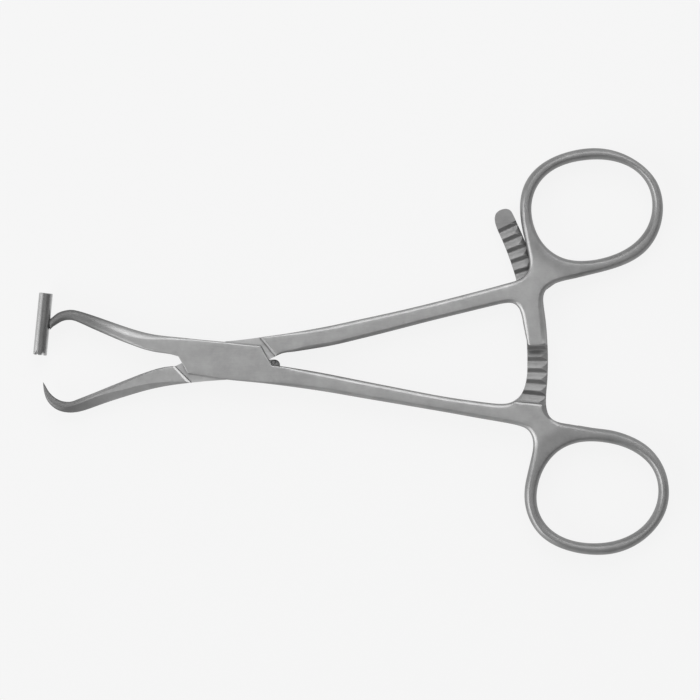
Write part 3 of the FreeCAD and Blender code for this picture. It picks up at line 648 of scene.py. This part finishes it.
class FORCEPS_OT_box_half(bpy.types.Operator):
    """Build the half with the upper jaw, the box and the long ratchet bar"""
    bl_idname = "forceps.box_half"
    bl_label = "Box Half"

    def execute(self, context):
        lock, ratchet = context.scene.forceps_lock, context.scene.forceps_ratchet
        spacing, middle, inner, outer = sizes_in_mm(context)
        bar_end = math.degrees(ratchet.long_bar_end)

        to_ratchet = [BOX_HALF[run] for run in ("jaw_inner_edge", "cheek_jaw_end", "lower_edge")]
        onward = [BOX_HALF[run] for run in (
            "shank_upper_edge", "cheek_shank_end", "upper_edge", "neck_end")]
        bore = [BOX_HALF["lower_ring_bore"]]
        front = forged_layer("box_front", to_ratchet + [BOX_HALF["ratchet_step"]] + onward,
                             bore, 1, spacing, middle)
        back = forged_layer("box_back", to_ratchet + long_bar_runs(inner, outer, bar_end) + onward,
                            bore, -1, spacing, middle)

        slot, half_slot = circle(lock.slot_radius / MM), lock.slot_depth / 2 / MM
        carve(front, prism("slot", [(middle - CLEAR, slot), (middle + half_slot, slot)]))
        carve(back, prism("slot", [(middle - half_slot, slot), (middle + CLEAR, slot)]))
        drill((front, back), lock.pin_radius / MM, 2 * middle)

        start, pitch = math.degrees(ratchet.long_teeth_start), math.degrees(ratchet.pitch)
        crest = middle - ratchet.face_gap / 2 / MM
        root = crest - ratchet.tooth_depth / MM
        top = middle + CLEAR
        row_end = start + pitch * ratchet.long_teeth
        row = [(ROW_START, crest)] + saw_teeth(start, pitch, ratchet.long_teeth, crest, root) \
            + [(row_end, crest), (bar_end + ROW_PAST_END, crest)]
        carve(back, arc_solid("teeth", [
            (angle, band(inner - CLEAR, outer + CLEAR, z, top)) for angle, z in row]))
        bevel = closed_above(shifted(BAR_BEVEL, outer, crest, ratchet.edge_bevel / MM), top)
        carve(back, arc_solid("bevel", [
            (angle, bevel) for angle in np.linspace(BEVEL_START, row_end, BEVEL_STEPS)]))

        face = middle + depth_at(np.array([[outer, 0.0]]))[0] / 2
        carve(front, arc_solid("ledge", [
            (angle, closed_above(shifted(LEDGE_LIP, reach, face)
                                 + shifted(LEDGE_FLOOR, reach, middle), face + CLEAR))
            for angle, reach in LEDGE]))
        carve(back, arc_solid("ledge_bevel", [
            (angle, closed_above(shifted(LEDGE_BEVEL, reach, middle), top))
            for angle, reach in LEDGE[1:]]))

        piece = joined("box_half_forging", [front, back])
        for material in (satin_steel(context), cut_steel_and_ledge_shade(context)):
            piece.data.materials.append(material)
        for polygon in piece.data.polygons:
            x, y, z = polygon.center / MM
            angle, reach = math.degrees(math.atan2(y, x)), math.hypot(x, y)
            in_row = start <= angle <= bar_end and root - NEAR < z < crest + NEAR \
                and inner - BESIDE < reach < outer + BESIDE
            # Faces of the ledge get the darker steel as painted shade
            on_ledge = LEDGE[-1][0] < angle < LEDGE[1][0] \
                and LEDGE_LOW < z < middle + LEDGE_HIGH and reach > outer - LEDGE_WIDTH
            if (in_row or on_ledge) and polygon.normal.z > LOOKS_UP:
                polygon.material_index = 1
        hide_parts("box_half")
        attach(piece, "guide_side")
        return {"FINISHED"}


# The long bar's outline: where its edges start and in what steps, in degrees; its tip,
# as mm from the outer or the inner radius and degrees short of the bar's end; its foot
BAR_OUTER_START, BAR_INNER_START, BAR_STEP, TIP_START = -6, -3.0, 2.0, 3
TIP_OUTER = ((0, 2.4), (0, 1.6), (-0.1, 1.15), (-0.45, 0.7), (-1.2, 0.35))
TIP_INNER = ((2.3, 0.2), (1.33, 0.4), (0.68, 0.96), (0.23, 1.93), (0, 3.5))
BAR_FOOT = [(66.27, -4.23, 0.3, 0), (65.64, -6.43, 0.4, 0), (65.04, -7.54, 0.5, 0),
            (63.89, -8.64, 0.4, 0)]
BAR_EDGE = 0.3          # width of the worked edge along the bar, in mm


def long_bar_runs(inner, outer, end):
    """Outline of the long bar, from the lower ring up its outer edge and down its inner edge."""
    def spot(radius, angle):
        turn = math.radians(angle)
        return (radius * math.cos(turn), radius * math.sin(turn), BAR_EDGE, 0)

    tip = [spot(outer + out, end - short) for out, short in TIP_OUTER] \
        + [spot(inner + out, end - short) for out, short in TIP_INNER]
    outer_edge = [BOX_HALF["lower_edge"][-1]] + [
        spot(outer, angle) for angle in np.arange(BAR_OUTER_START, end - TIP_START, BAR_STEP)]
    inner_edge = [spot(inner, angle)
                  for angle in np.arange(end - TIP_INNER[-1][1], BAR_INNER_START, -BAR_STEP)]
    return [outer_edge + tip[:1], tip,
            inner_edge + BAR_FOOT + [BOX_HALF["shank_upper_edge"][0]]]


# The tenon's two shoulders: both ends, and the way in which each steps back from the lock
JAW_SHOULDER = ((-13.25, 0.95), (-5.66, -6.64), (-0.707, -0.707))
SHANK_SHOULDER = ((12.33, -0.87), (5.91, 6.99), (0.775, 0.633))
# The bevel along a shoulder, in its widths: up beyond the corner, and back
SHOULDER_ROUND = ((0.15, 0.04), (0.4, 0.2), (0.95, 1.0), (1.02, 1.25), (1.04, 1.6))

# Angles of the cut for the long bar and of the heel, in degrees
PASSAGE_ANGLES = np.arange(-4, 32, 0.5)
HEEL_ANGLES = np.arange(-10, 1.6, 0.25)
# The heel: where it starts inside the tenon, the rounding of its corner, the angle at
# which that ends, and the radius along which it is measured
HEEL_INNER, HEEL_CORNER, HEEL_END, HEEL_ARC = 5, 1.3, 1.5, 11.4
NOSE_POINTS = 13        # points round the heel's rounded end
# Its dimple: the centre, and the radius and the height from the heel's face at the
# bottom and at the mouth
DIMPLE_CENTRE = (10.5, -0.3)
DIMPLE = ((0.4, -0.35), (0.6, 0.1))
DIMPLE_POINTS = 32

# The short bar's row: how far it is level before the first tooth, half the angle of a
# tooth's steep face, and how far the cut reaches past the outer radius
SHORT_LEVEL, STEEP_HALF, SHORT_PAST = 4, 0.03, 0.6

# Where faces of the tenon half are picked for another finish, in mm: the tenon's reach, the heel's,
# and the bevels at the jaw along X + Y and at the shank along its step; the tenon's faces and the
# jaw's bevel are brightened as painted light
TENON_REACH = 14
HEEL_WIDTH, HEEL_FROM = 2.5, 7
JAW_BREAK, SHANK_BREAK = (-14.2, -12.2), (8.95, 10.3)
# Limits of their normals: Z of a flat face, Z of the flattest bevel, and X of any bevel
FLAT, NEARLY_FLAT, LEAN = 0.9, 0.985, 0.1


class FORCEPS_OT_tenon_half(bpy.types.Operator):
    """Build the half with the hooked jaw, the tenon and the short ratchet bar"""
    bl_idname = "forceps.tenon_half"
    bl_label = "Tenon Half"

    def execute(self, context):
        lock, ratchet = context.scene.forceps_lock, context.scene.forceps_ratchet
        spacing, middle, inner, outer = sizes_in_mm(context)

        jaw = [TENON_HALF[run] for run in ("jaw_outer_edge", "tenon_lower_edge")]
        ring = [TENON_HALF[run] for run in ("shank_lower_edge", "bar_end", "ring_outer_edge")]
        ring_behind = [TENON_HALF["shank_lower_edge"][:BACK_LEAVES] + BACK_JOIN
                       + TENON_HALF["ring_outer_edge"][BACK_RETURNS:]]
        onward = [TENON_HALF[run] for run in ("tenon_upper_edge", "jaw_inner_edge")]
        bore = [TENON_HALF["upper_ring_bore"]]
        front = forged_layer("tenon_front", jaw + ring + onward, bore, 1, spacing, middle)
        back = forged_layer("tenon_back", jaw + ring_behind + onward, bore, -1, spacing, middle)

        tenon = lock.slot_depth / 2 / MM - lock.tenon_play / MM
        low, high = middle - tenon, middle + tenon
        flare = lock.shoulder_break / MM
        carve(front, shoulder_cutter(high, 2 * middle - flare, 2 * middle + CLEAR, flare))
        carve(back, shoulder_cutter(low, flare, -CLEAR, flare))
        drill((front, back), (lock.pin_radius + lock.pin_play) / MM, 2 * middle)

        play = ratchet.play / MM
        crest = middle + ratchet.face_gap / 2 / MM
        passage = band(inner - play, outer + play, -CLEAR, crest)
        carve(back, arc_solid("bar_passage", [(angle, passage) for angle in PASSAGE_ANGLES]))
        start, pitch = math.degrees(ratchet.short_teeth_start), math.degrees(ratchet.pitch)
        row = [(start - SHORT_LEVEL, crest), (start, crest)]
        for tooth in range(ratchet.short_teeth):
            angle = start + tooth * pitch
            row += [(angle + STEEP_HALF, crest + ratchet.tooth_depth / MM),
                    (angle + pitch - STEEP_HALF, crest)]
        carve(front, arc_solid("teeth", [
            (angle, band(inner - CLEAR, outer + SHORT_PAST, 0, z)) for angle, z in row]))

        reach = lock.heel_reach / MM
        heel = arc_solid("heel", [(angle, heel_section(reach - heel_corner(angle), low, high))
                                  for angle in HEEL_ANGLES])
        carve(heel, prism("heel_dimple", [
            (high + up, [(DIMPLE_CENTRE[0] + radius * x, DIMPLE_CENTRE[1] + radius * y)
                         for x, y in circle(1, DIMPLE_POINTS)]) for radius, up in DIMPLE]))

        piece = joined("tenon_half_forging", [front, back, heel])
        for material in (satin_steel(context), ground_steel_with_painted_light(context), cut_steel_and_ledge_shade(context)):
            piece.data.materials.append(material)
        back_x, back_y = SHANK_SHOULDER[2]
        for polygon in piece.data.polygons:
            x, y, z = polygon.center / MM
            normal = polygon.normal
            on_tenon = abs(normal.z) > FLAT and math.hypot(x, y) < TENON_REACH \
                and min(abs(z - low), abs(z - high)) < NEAR
            on_heel = 0 < x and abs(y) < HEEL_WIDTH \
                and HEEL_FROM < math.hypot(x, y) < reach + BESIDE \
                and low - NEAR / 2 < z < high + NEAR / 2
            on_bevel = (z < low - NEAR / 2 or z > high + NEAR / 2) \
                and LOOKS_UP < abs(normal.z) < NEARLY_FLAT
            at_jaw = on_bevel and normal.x > LEAN and JAW_BREAK[0] < x + y < JAW_BREAK[1]
            at_shank = on_bevel and normal.x < -LEAN \
                and SHANK_BREAK[0] < back_x * x + back_y * y < SHANK_BREAK[1]
            # The tenon's faces and the jaw's bevel are brightened as painted light
            if on_tenon or at_jaw:
                polygon.material_index = 1
            if on_heel or at_shank:
                polygon.material_index = 2
        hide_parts("tenon_half")
        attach(piece, "hook_side")
        return {"FINISHED"}


def heel_corner(angle):
    """How far the heel's corner is rounded off at an angle, towards its end."""
    past = HEEL_CORNER - math.radians(HEEL_END - angle) * HEEL_ARC
    if past <= 0:
        return 0
    return HEEL_CORNER - math.sqrt(max(0, HEEL_CORNER ** 2 - min(past, HEEL_CORNER) ** 2))


def heel_section(reach, low, high):
    """The heel's section, round at its outer end."""
    middle, half = (low + high) / 2, (high - low) / 2
    nose = [(reach - half + half * math.cos(turn), middle + half * math.sin(turn))
            for turn in np.linspace(-math.pi / 2, math.pi / 2, NOSE_POINTS)]
    return [(HEEL_INNER, low)] + nose + [(HEEL_INNER, high)]


def shoulder_cutter(start, corner, end, flare):
    """What is cleared beside the tenon between its two shoulders, with a bevel along each."""
    def stepped(by):
        return [(x + by * back_x, y + by * back_y)
                for first, second, (back_x, back_y) in (JAW_SHOULDER, SHANK_SHOULDER)
                for x, y in (first, second)]

    up = math.copysign(1, end - corner)
    rounding = [(corner + up * flare * rise, stepped(flare * out)) for rise, out in SHOULDER_ROUND]
    return prism("shoulder_cut", [(start, stepped(0)), (corner, stepped(0))] + rounding
                 + [(end, rounding[-1][1])])


class FORCEPS_OT_lock_pin(bpy.types.Operator):
    """Finish the pin that is pressed into both cheeks and ground flush with them"""
    bl_idname = "forceps.lock_pin"
    bl_label = "Lock Pin"

    def execute(self, context):
        finish = satin_steel(context)
        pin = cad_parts["lock_pin"]
        if not pin.material_slots:
            pin.data.materials.append(finish)
        for slot in pin.material_slots:
            slot.material = finish
        return {"FINISHED"}


class FORCEPS_OT_guide_tube(bpy.types.Operator):
    """Build the wire guide with its toothed end and bevelled rims"""
    bl_idname = "forceps.guide_tube"
    bl_label = "Wire Guide"

    def execute(self, context):
        tube = context.scene.forceps_tube
        outer, inner = tube.outer / 2 / MM, tube.bore / 2 / MM
        length, rim = tube.length / MM, tube.rim_break / MM
        profile = [(outer, rim), (outer, length - rim), (outer - rim, length),
                   (inner + rim, length), (inner, length - rim), (inner, rim),
                   (inner + rim, 0), (outer - rim, 0)]
        mesh = bmesh.new()
        rows = []
        for n in range(AROUND):
            angle = 2 * math.pi * n / AROUND
            lift = notch_lift(angle, tube)
            across = Vector((math.cos(angle), 0, math.sin(angle)))
            row = []
            for radius, along in profile:
                foot = along + lift if along < length / 2 else along
                row.append(mesh.verts.new(across * radius + Vector((0, foot, 0))))
            rows.append(row)
        skin(mesh, rows, closed=True)
        turn = tube.course - math.pi / 2
        foot = Vector(tube.foot) / MM
        for vert in mesh.verts:
            x, y, z = vert.co
            vert.co = Vector((x * math.cos(turn) - y * math.sin(turn),
                              x * math.sin(turn) + y * math.cos(turn), z)) + foot
        piece = joined("wire_guide", [object_from(mesh, "tube")])
        piece.data.materials.append(tube_steel(context))
        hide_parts("wire_guide_tube")
        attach(piece, "guide_side")
        return {"FINISHED"}


def notch_lift(angle, tube):
    """How far the toothed end is cut back at an angle round the tube."""
    step = 2 * math.pi / tube.notches
    away = abs((angle + step / 2) % step - step / 2) * tube.outer / 2
    return max(0.0, 1 - away / (tube.notch_width / 2)) * tube.notch_depth / MM


# Centres of the finger rings, and the distances from them over which their darker tone comes in
RINGS = ((0.0805, 0.0345, 0.0028), (0.0818, -0.0290, 0.0028))
RING_DARKENING_REACH = (0.0185, 0.0155)
# The darkening towards the jaw tips: its range along X, and how that range leans with Y
JAW_DARKENING = (-0.0334, -0.0234)
JAW_LEAN = -0.3
TIP_SHARE = 0.46                # tone of the jaw tips beside the rest
RING_SHARE = 0.72               # tone of the rings beside the rest
TIP_ROUGHER = 0.2               # how much rougher than the rest the tips are
# Scale to the metre, detail and roughness of the noises, and the stretch of the lines
CLOUD, GRAIN, LINES = (220.0, 5.0, 0.7), (6500.0, 3.0, 0.65), (1.0, 4.0, 0.55)
LINES_STRETCH = (260.0, 5200.0, 5200.0)
NOISE_RANGE = (0.3, 0.7)        # the part of a noise's values that is spread over a range
CLOUD_TONE = (0.87, 1.10)       # tones that the cloud gives
STEEP_FROM = 0.25               # Z of the normal at which the tone painted on steep faces, shade on the forgings and highlight on the tube, is full
AO_REACH, AO_RANGE, AO_SAMPLES = 0.0004, (0.2, 0.85), 8     # painted shade in corners: where it falls and how dark a corner is
SMOOTHER, ROUGHER = 0.05, 0.06  # how far the lines vary the roughness
BUMP_STRENGTH, BUMP_DEPTH = 0.25, 0.000012
GROUND_PAINTED_LIGHT_SHARE, CUT_AND_LEDGE_SHADE_SHARE = 1.42, 0.8     # tones of the ground steel, brightened as painted light, and of the cut teeth's steel, darkened, which is painted shade on the ledge


def plug(material, socket, value):
    """Sets a socket to a plain value, or links it to another node's output."""
    if isinstance(value, bpy.types.NodeSocket):
        material.node_tree.links.new(value, socket)
    else:
        socket.default_value = value


def node_of(material, kind, place, settings=(), **inputs):
    """A shader node with its settings, and its inputs set or linked."""
    node = material.node_tree.nodes.new(kind)
    node.location = place
    for name, value in settings:
        setattr(node, name, value)
    for name, value in inputs.items():
        plug(material, node.inputs[name.replace("_", " ")], value)
    return node


def maths(material, operation, place, *values):
    """The outcome of a sum on plain values and other nodes' outputs."""
    node = node_of(material, "ShaderNodeMath", place, [("operation", operation)])
    for socket, value in zip(node.inputs, values):
        plug(material, socket, value)
    return node.outputs["Value"]


def ranged(material, place, value, source, target, blend="LINEAR"):
    """A value that is spread from the source range over the target range."""
    node = node_of(material, "ShaderNodeMapRange", place, [("interpolation_type", blend)],
                   Value=value, From_Min=source[0], From_Max=source[1],
                   To_Min=target[0], To_Max=target[1])
    return node.outputs["Result"]


def mixed(material, place, factor, first, second, blend="MIX"):
    """Two colours mixed, or the first toned by the second with MULTIPLY."""
    node = node_of(material, "ShaderNodeMix", place, [("data_type", "RGBA"), ("blend_type", blend)],
                   Factor=factor, A=first, B=second)
    return node.outputs["Result"]


def noise(material, place, vector, scale, detail, roughness):
    node = node_of(material, "ShaderNodeTexNoise", place,
                   Vector=vector, Scale=scale, Detail=detail, Roughness=roughness)
    return node.outputs["Fac"]


def steel(name, colour, roughness, dark_end, steep_painted_light, corner_shade_tone=0.68, edge_reach=0.72,
          rings=()):
    """Fine satin steel with a cloudy tone and faint polishing lines. It is darker towards
    the jaw tips, where it is duller too, and on the rings whose centres are given. Steep faces
    are toned by painted light: painted shade below a tone of 1, a painted highlight above; corners
    get painted shade."""
    if name in bpy.data.materials:
        return bpy.data.materials[name]
    material = bpy.data.materials.new(name)
    material.use_nodes = True
    shader = material.node_tree.nodes["Principled BSDF"]
    place = node_of(material, "ShaderNodeTexCoord", (-1500, 0)).outputs

    cloud = noise(material, (-1100, 300), place["Object"], *CLOUD)
    grain = noise(material, (-1100, 0), place["Object"], *GRAIN)
    stretch = node_of(material, "ShaderNodeMapping", (-1300, -300),
                      Vector=place["Object"], Scale=LINES_STRETCH)
    lines = noise(material, (-1100, -300), stretch.outputs["Vector"], *LINES)

    split = node_of(material, "ShaderNodeSeparateXYZ", (-1100, 550), Vector=place["Object"]).outputs
    along = maths(material, "MULTIPLY_ADD", (-1000, 650), split["Y"], JAW_LEAN, split["X"])
    tip_darkening = ranged(material, (-900, 550), along, JAW_DARKENING, (dark_end, 0.0), "SMOOTHSTEP")
    tone = ranged(material, (-900, 300), cloud, NOISE_RANGE, CLOUD_TONE)
    tint = mixed(material, (-600, 300), 1.0, (*colour, 1), tone, "MULTIPLY")
    dark = (*[TIP_SHARE * part for part in colour], 1)
    tint = mixed(material, (-350, 350), tip_darkening, tint, dark)

    # Painted light on steep faces: shade where the tone is below 1, a highlight where it is above
    flat = node_of(material, "ShaderNodeSeparateXYZ", (-1100, 800), Vector=place["Normal"]).outputs
    upright = maths(material, "ABSOLUTE", (-900, 800), flat["Z"])
    steep = ranged(material, (-700, 800), upright, (STEEP_FROM, edge_reach), (steep_painted_light, 1.0))
    if rings:
        reaches = []
        for number, centre in enumerate(rings):
            reach = node_of(material, "ShaderNodeVectorMath", (-1250, 1300 - 200 * number),
                            [("operation", "DISTANCE")], Vector=place["Object"])
            reach.inputs[1].default_value = centre
            reaches.append(reach.outputs["Value"])
        nearer = maths(material, "MINIMUM", (-1000, 1200), *reaches)
        on_ring = ranged(material, (-800, 1200), nearer, RING_DARKENING_REACH, (0.0, 1.0), "SMOOTHSTEP")
        steep = maths(material, "MAXIMUM", (-500, 1000), steep, on_ring)
    tint = mixed(material, (-150, 400), 1.0, tint, steep, "MULTIPLY")

    # Painted shade in corners and recesses, from the occlusion
    corners = node_of(material, "ShaderNodeAmbientOcclusion", (-350, 650),
                      [("samples", AO_SAMPLES)], Distance=AO_REACH)
    corner_shade = ranged(material, (-150, 650), corners.outputs["AO"], AO_RANGE, (corner_shade_tone, 1.0))
    tint = mixed(material, (0, 400), 1.0, tint, corner_shade, "MULTIPLY")
    if rings:
        ring_darkening = ranged(material, (-300, 1200), on_ring, (0.0, 1.0), (1.0, RING_SHARE))
        tint = mixed(material, (50, 500), 1.0, tint, ring_darkening, "MULTIPLY")

    rough = ranged(material, (-600, 0), lines, NOISE_RANGE,
                   (roughness - SMOOTHER, roughness + ROUGHER))
    duller = maths(material, "MULTIPLY_ADD", (-300, 0), tip_darkening, TIP_ROUGHER, rough)
    texture = maths(material, "ADD", (-800, -150), grain, lines)
    bump = node_of(material, "ShaderNodeBump", (-350, -200),
                   Strength=BUMP_STRENGTH, Distance=BUMP_DEPTH, Height=texture)
    for socket, value in (("Base Color", tint), ("Metallic", 1.0), ("Roughness", duller),
                          ("Normal", bump.outputs["Normal"])):
        plug(material, shader.inputs[socket], value)
    return material


def satin_steel(context):
    """The forgings' steel, with painted shade on steep faces and in corners, and a more even and
    darker tone on the round finger rings.
    """
    return steel("satin forged steel", context.scene.forceps_finish.satin_colour, 0.5, 0.85, 0.65,
                 rings=RINGS)


def tube_steel(context):
    """The wire guide's darker drawn steel, with a painted highlight on its steep sides and faint
    painted shade in corners.
    """
    return steel("drawn tube steel", context.scene.forceps_finish.tube_colour, 0.40, 0.0, 3.2,
                 0.85, 0.95)


def ground_steel_with_painted_light(context):
    """The flat ground steel of the sliding faces inside the lock, also put on the bevel at the
    jaw's shoulder, made brighter as painted light against the shade that falls there, with strong
    painted shade in corners.
    """
    colour = [GROUND_PAINTED_LIGHT_SHARE * part for part in context.scene.forceps_finish.satin_colour]
    return steel("ground steel faces with painted light", colour, 0.4, 0.0, 1.0, 0.5)


def cut_steel_and_ledge_shade(context):
    """The darker, unpolished steel of the cut teeth, also on the heel and the shank's shoulder
    bevel, with painted shade on steep faces and in corners; on the ledge beside the long bar its
    darker tone is painted shade.
    """
    colour = [CUT_AND_LEDGE_SHADE_SHARE * part for part in context.scene.forceps_finish.satin_colour]
    return steel("cut teeth steel and ledge shade", colour, 0.62, 0.0, 0.6)


FLOOR_SWEEP = 0.2       # how much of the floor's radius curves up at its rim
FLOOR_SIDES = 96
FLOOR_SINK = 0.00002    # how far the floor lies below the instrument
FLOOR_GLOW = 0.913      # tone of the floor as the camera sees it
GLOW_SHARE = 0.95       # how much of that tone stands in for the light on the paper
WORLD_TONE = 0.26
SENSOR_WIDTH = 36.0     # of the camera, in mm, as is its lens
# Name, place, width and power of each lamp
LAMPS = (
    ("left", (-0.99, -0.42, 0.38), 1.30, 20.0),
    ("top", (0.05, 0.80, 0.78), 0.80, 7.0),
    ("right", (0.70, 0.70, 0.55), 0.90, 3.2),
    ("overhead", (0.05, 0.15, 1.20), 1.00, 2.1),
)


class FORCEPS_OT_stage(bpy.types.Operator):
    """Lay the pale floor, and set up the lamps, the world and the camera"""
    bl_idname = "forceps.stage"
    bl_label = "Stage"

    def execute(self, context):
        scene = context.scene
        stage = scene.forceps_stage
        mesh = bmesh.new()
        swept = FLOOR_SWEEP * stage.floor_size / 2
        flat = stage.floor_size / 2 - swept
        profile = [(share * flat, 0) for share in (0.2, 0.6, 1.0)]
        profile += [(flat + swept * math.sin(turn), swept * (1 - math.cos(turn)))
                    for turn in np.linspace(math.pi / 16, math.pi / 2, 8)]
        turns = np.linspace(0, 2 * math.pi, FLOOR_SIDES, endpoint=False)
        rings = [[mesh.verts.new((reach * math.cos(turn), reach * math.sin(turn), height))
                  for turn in turns] for reach, height in profile]
        mesh.faces.new(rings[0])
        for lower, upper in zip(rings, rings[1:]):
            for n in range(len(turns)):
                mesh.faces.new([lower[n - 1], upper[n - 1], upper[n], lower[n]])
        for face in mesh.faces:
            face.smooth = True
        floor = placed("floor", data_from(mesh, "floor"))
        floor.location = (0, 0, -FLOOR_SINK)
        floor.data.materials.append(floor_paper(stage))

        centre = Vector(stage.view_centre)
        for name, where, size, power in LAMPS:
            lamp(name, where, centre, size, power)

        scene.world = scene.world or bpy.data.worlds.new("world")
        scene.world.use_nodes = True
        background = scene.world.node_tree.nodes["Background"].inputs
        background["Color"].default_value = (WORLD_TONE, WORLD_TONE, WORLD_TONE, 1)
        background["Strength"].default_value = 1.0

        camera = placed("camera", bpy.data.cameras.new("camera"))
        camera.data.sensor_width = SENSOR_WIDTH
        camera.data.lens = stage.lens
        away = stage.view_width / 2 / (SENSOR_WIDTH / 2 / stage.lens)
        camera.location = centre + Vector((0, 0, away))
        scene.camera = camera
        scene.view_settings.view_transform = "Standard"
        return {"FINISHED"}


def lamp(name, where, target, size, power):
    """A square soft lamp that faces the target."""
    light = bpy.data.lights.new(name, "AREA")
    light.size = size
    light.energy = power
    made = placed(name, light)
    made.location = where
    made.rotation_euler = (target - Vector(where)).to_track_quat("-Z", "Y").to_euler()


def floor_paper(stage):
    """Pale paper that keeps a light shadow."""
    material = bpy.data.materials.new("floor paper")
    material.use_nodes = True
    nodes = material.node_tree.nodes
    paper = nodes["Principled BSDF"]
    for socket, value in (("Base Color", (*stage.floor_colour, 1)), ("Roughness", 0.9),
                          ("Specular IOR Level", 0.1)):
        paper.inputs[socket].default_value = value
    glow = node_of(material, "ShaderNodeEmission", (0, -300),
                   Color=(FLOOR_GLOW, FLOOR_GLOW, FLOOR_GLOW, 1))
    path = node_of(material, "ShaderNodeLightPath", (-300, 300)).outputs
    seen = maths(material, "MAXIMUM", (-150, 300), path["Is Camera Ray"], path["Is Glossy Ray"])
    through = maths(material, "MAXIMUM", (-150, 100), seen, path["Is Transmission Ray"])
    share = maths(material, "MULTIPLY", (0, 300), through, GLOW_SHARE)
    mix = node_of(material, "ShaderNodeMixShader", (300, 100), Fac=share)
    plug(material, mix.inputs[1], paper.outputs["BSDF"])
    plug(material, mix.inputs[2], glow.outputs["Emission"])
    plug(material, nodes["Material Output"].inputs["Surface"], mix.outputs["Shader"])
    return material


class FORCEPS_PT_panel(bpy.types.Panel):
    """Sizes and pieces of the forceps"""
    bl_idname = "FORCEPS_PT_panel"
    bl_label = "Wire Reduction Forceps"
    bl_space_type = "VIEW_3D"
    bl_region_type = "UI"
    bl_category = "Forceps"

    def draw(self, context):
        layout = self.layout
        for group in GROUPS:
            box = layout.box()
            settings = getattr(context.scene, group)
            for name in settings.bl_rna.properties.keys():
                if name not in ("rna_type", "name"):
                    box.prop(settings, name)
        for operator in OPERATORS:
            layout.operator(operator.bl_idname)


GROUPS = {
    "forceps_lock": BoxLockSizes,
    "forceps_ratchet": RatchetSizes,
    "forceps_tube": GuideTubeSizes,
    "forceps_finish": FinishSettings,
    "forceps_stage": StageSettings,
}
OPERATORS = (
    FORCEPS_OT_box_half,
    FORCEPS_OT_tenon_half,
    FORCEPS_OT_lock_pin,
    FORCEPS_OT_guide_tube,
    FORCEPS_OT_stage,
)


def register():
    for name, group in GROUPS.items():
        bpy.utils.register_class(group)
        setattr(bpy.types.Scene, name, PointerProperty(type=group))
    for operator in OPERATORS:
        bpy.utils.register_class(operator)
    bpy.utils.register_class(FORCEPS_PT_panel)


def unregister():
    bpy.utils.unregister_class(FORCEPS_PT_panel)
    for operator in reversed(OPERATORS):
        bpy.utils.unregister_class(operator)
    for name, group in GROUPS.items():
        delattr(bpy.types.Scene, name)
        bpy.utils.unregister_class(group)


def main():
    register()
    bpy.ops.forceps.box_half()
    bpy.ops.forceps.tenon_half()
    bpy.ops.forceps.lock_pin()
    bpy.ops.forceps.guide_tube()
    bpy.ops.forceps.stage()


if __name__ == "__main__":
    main()
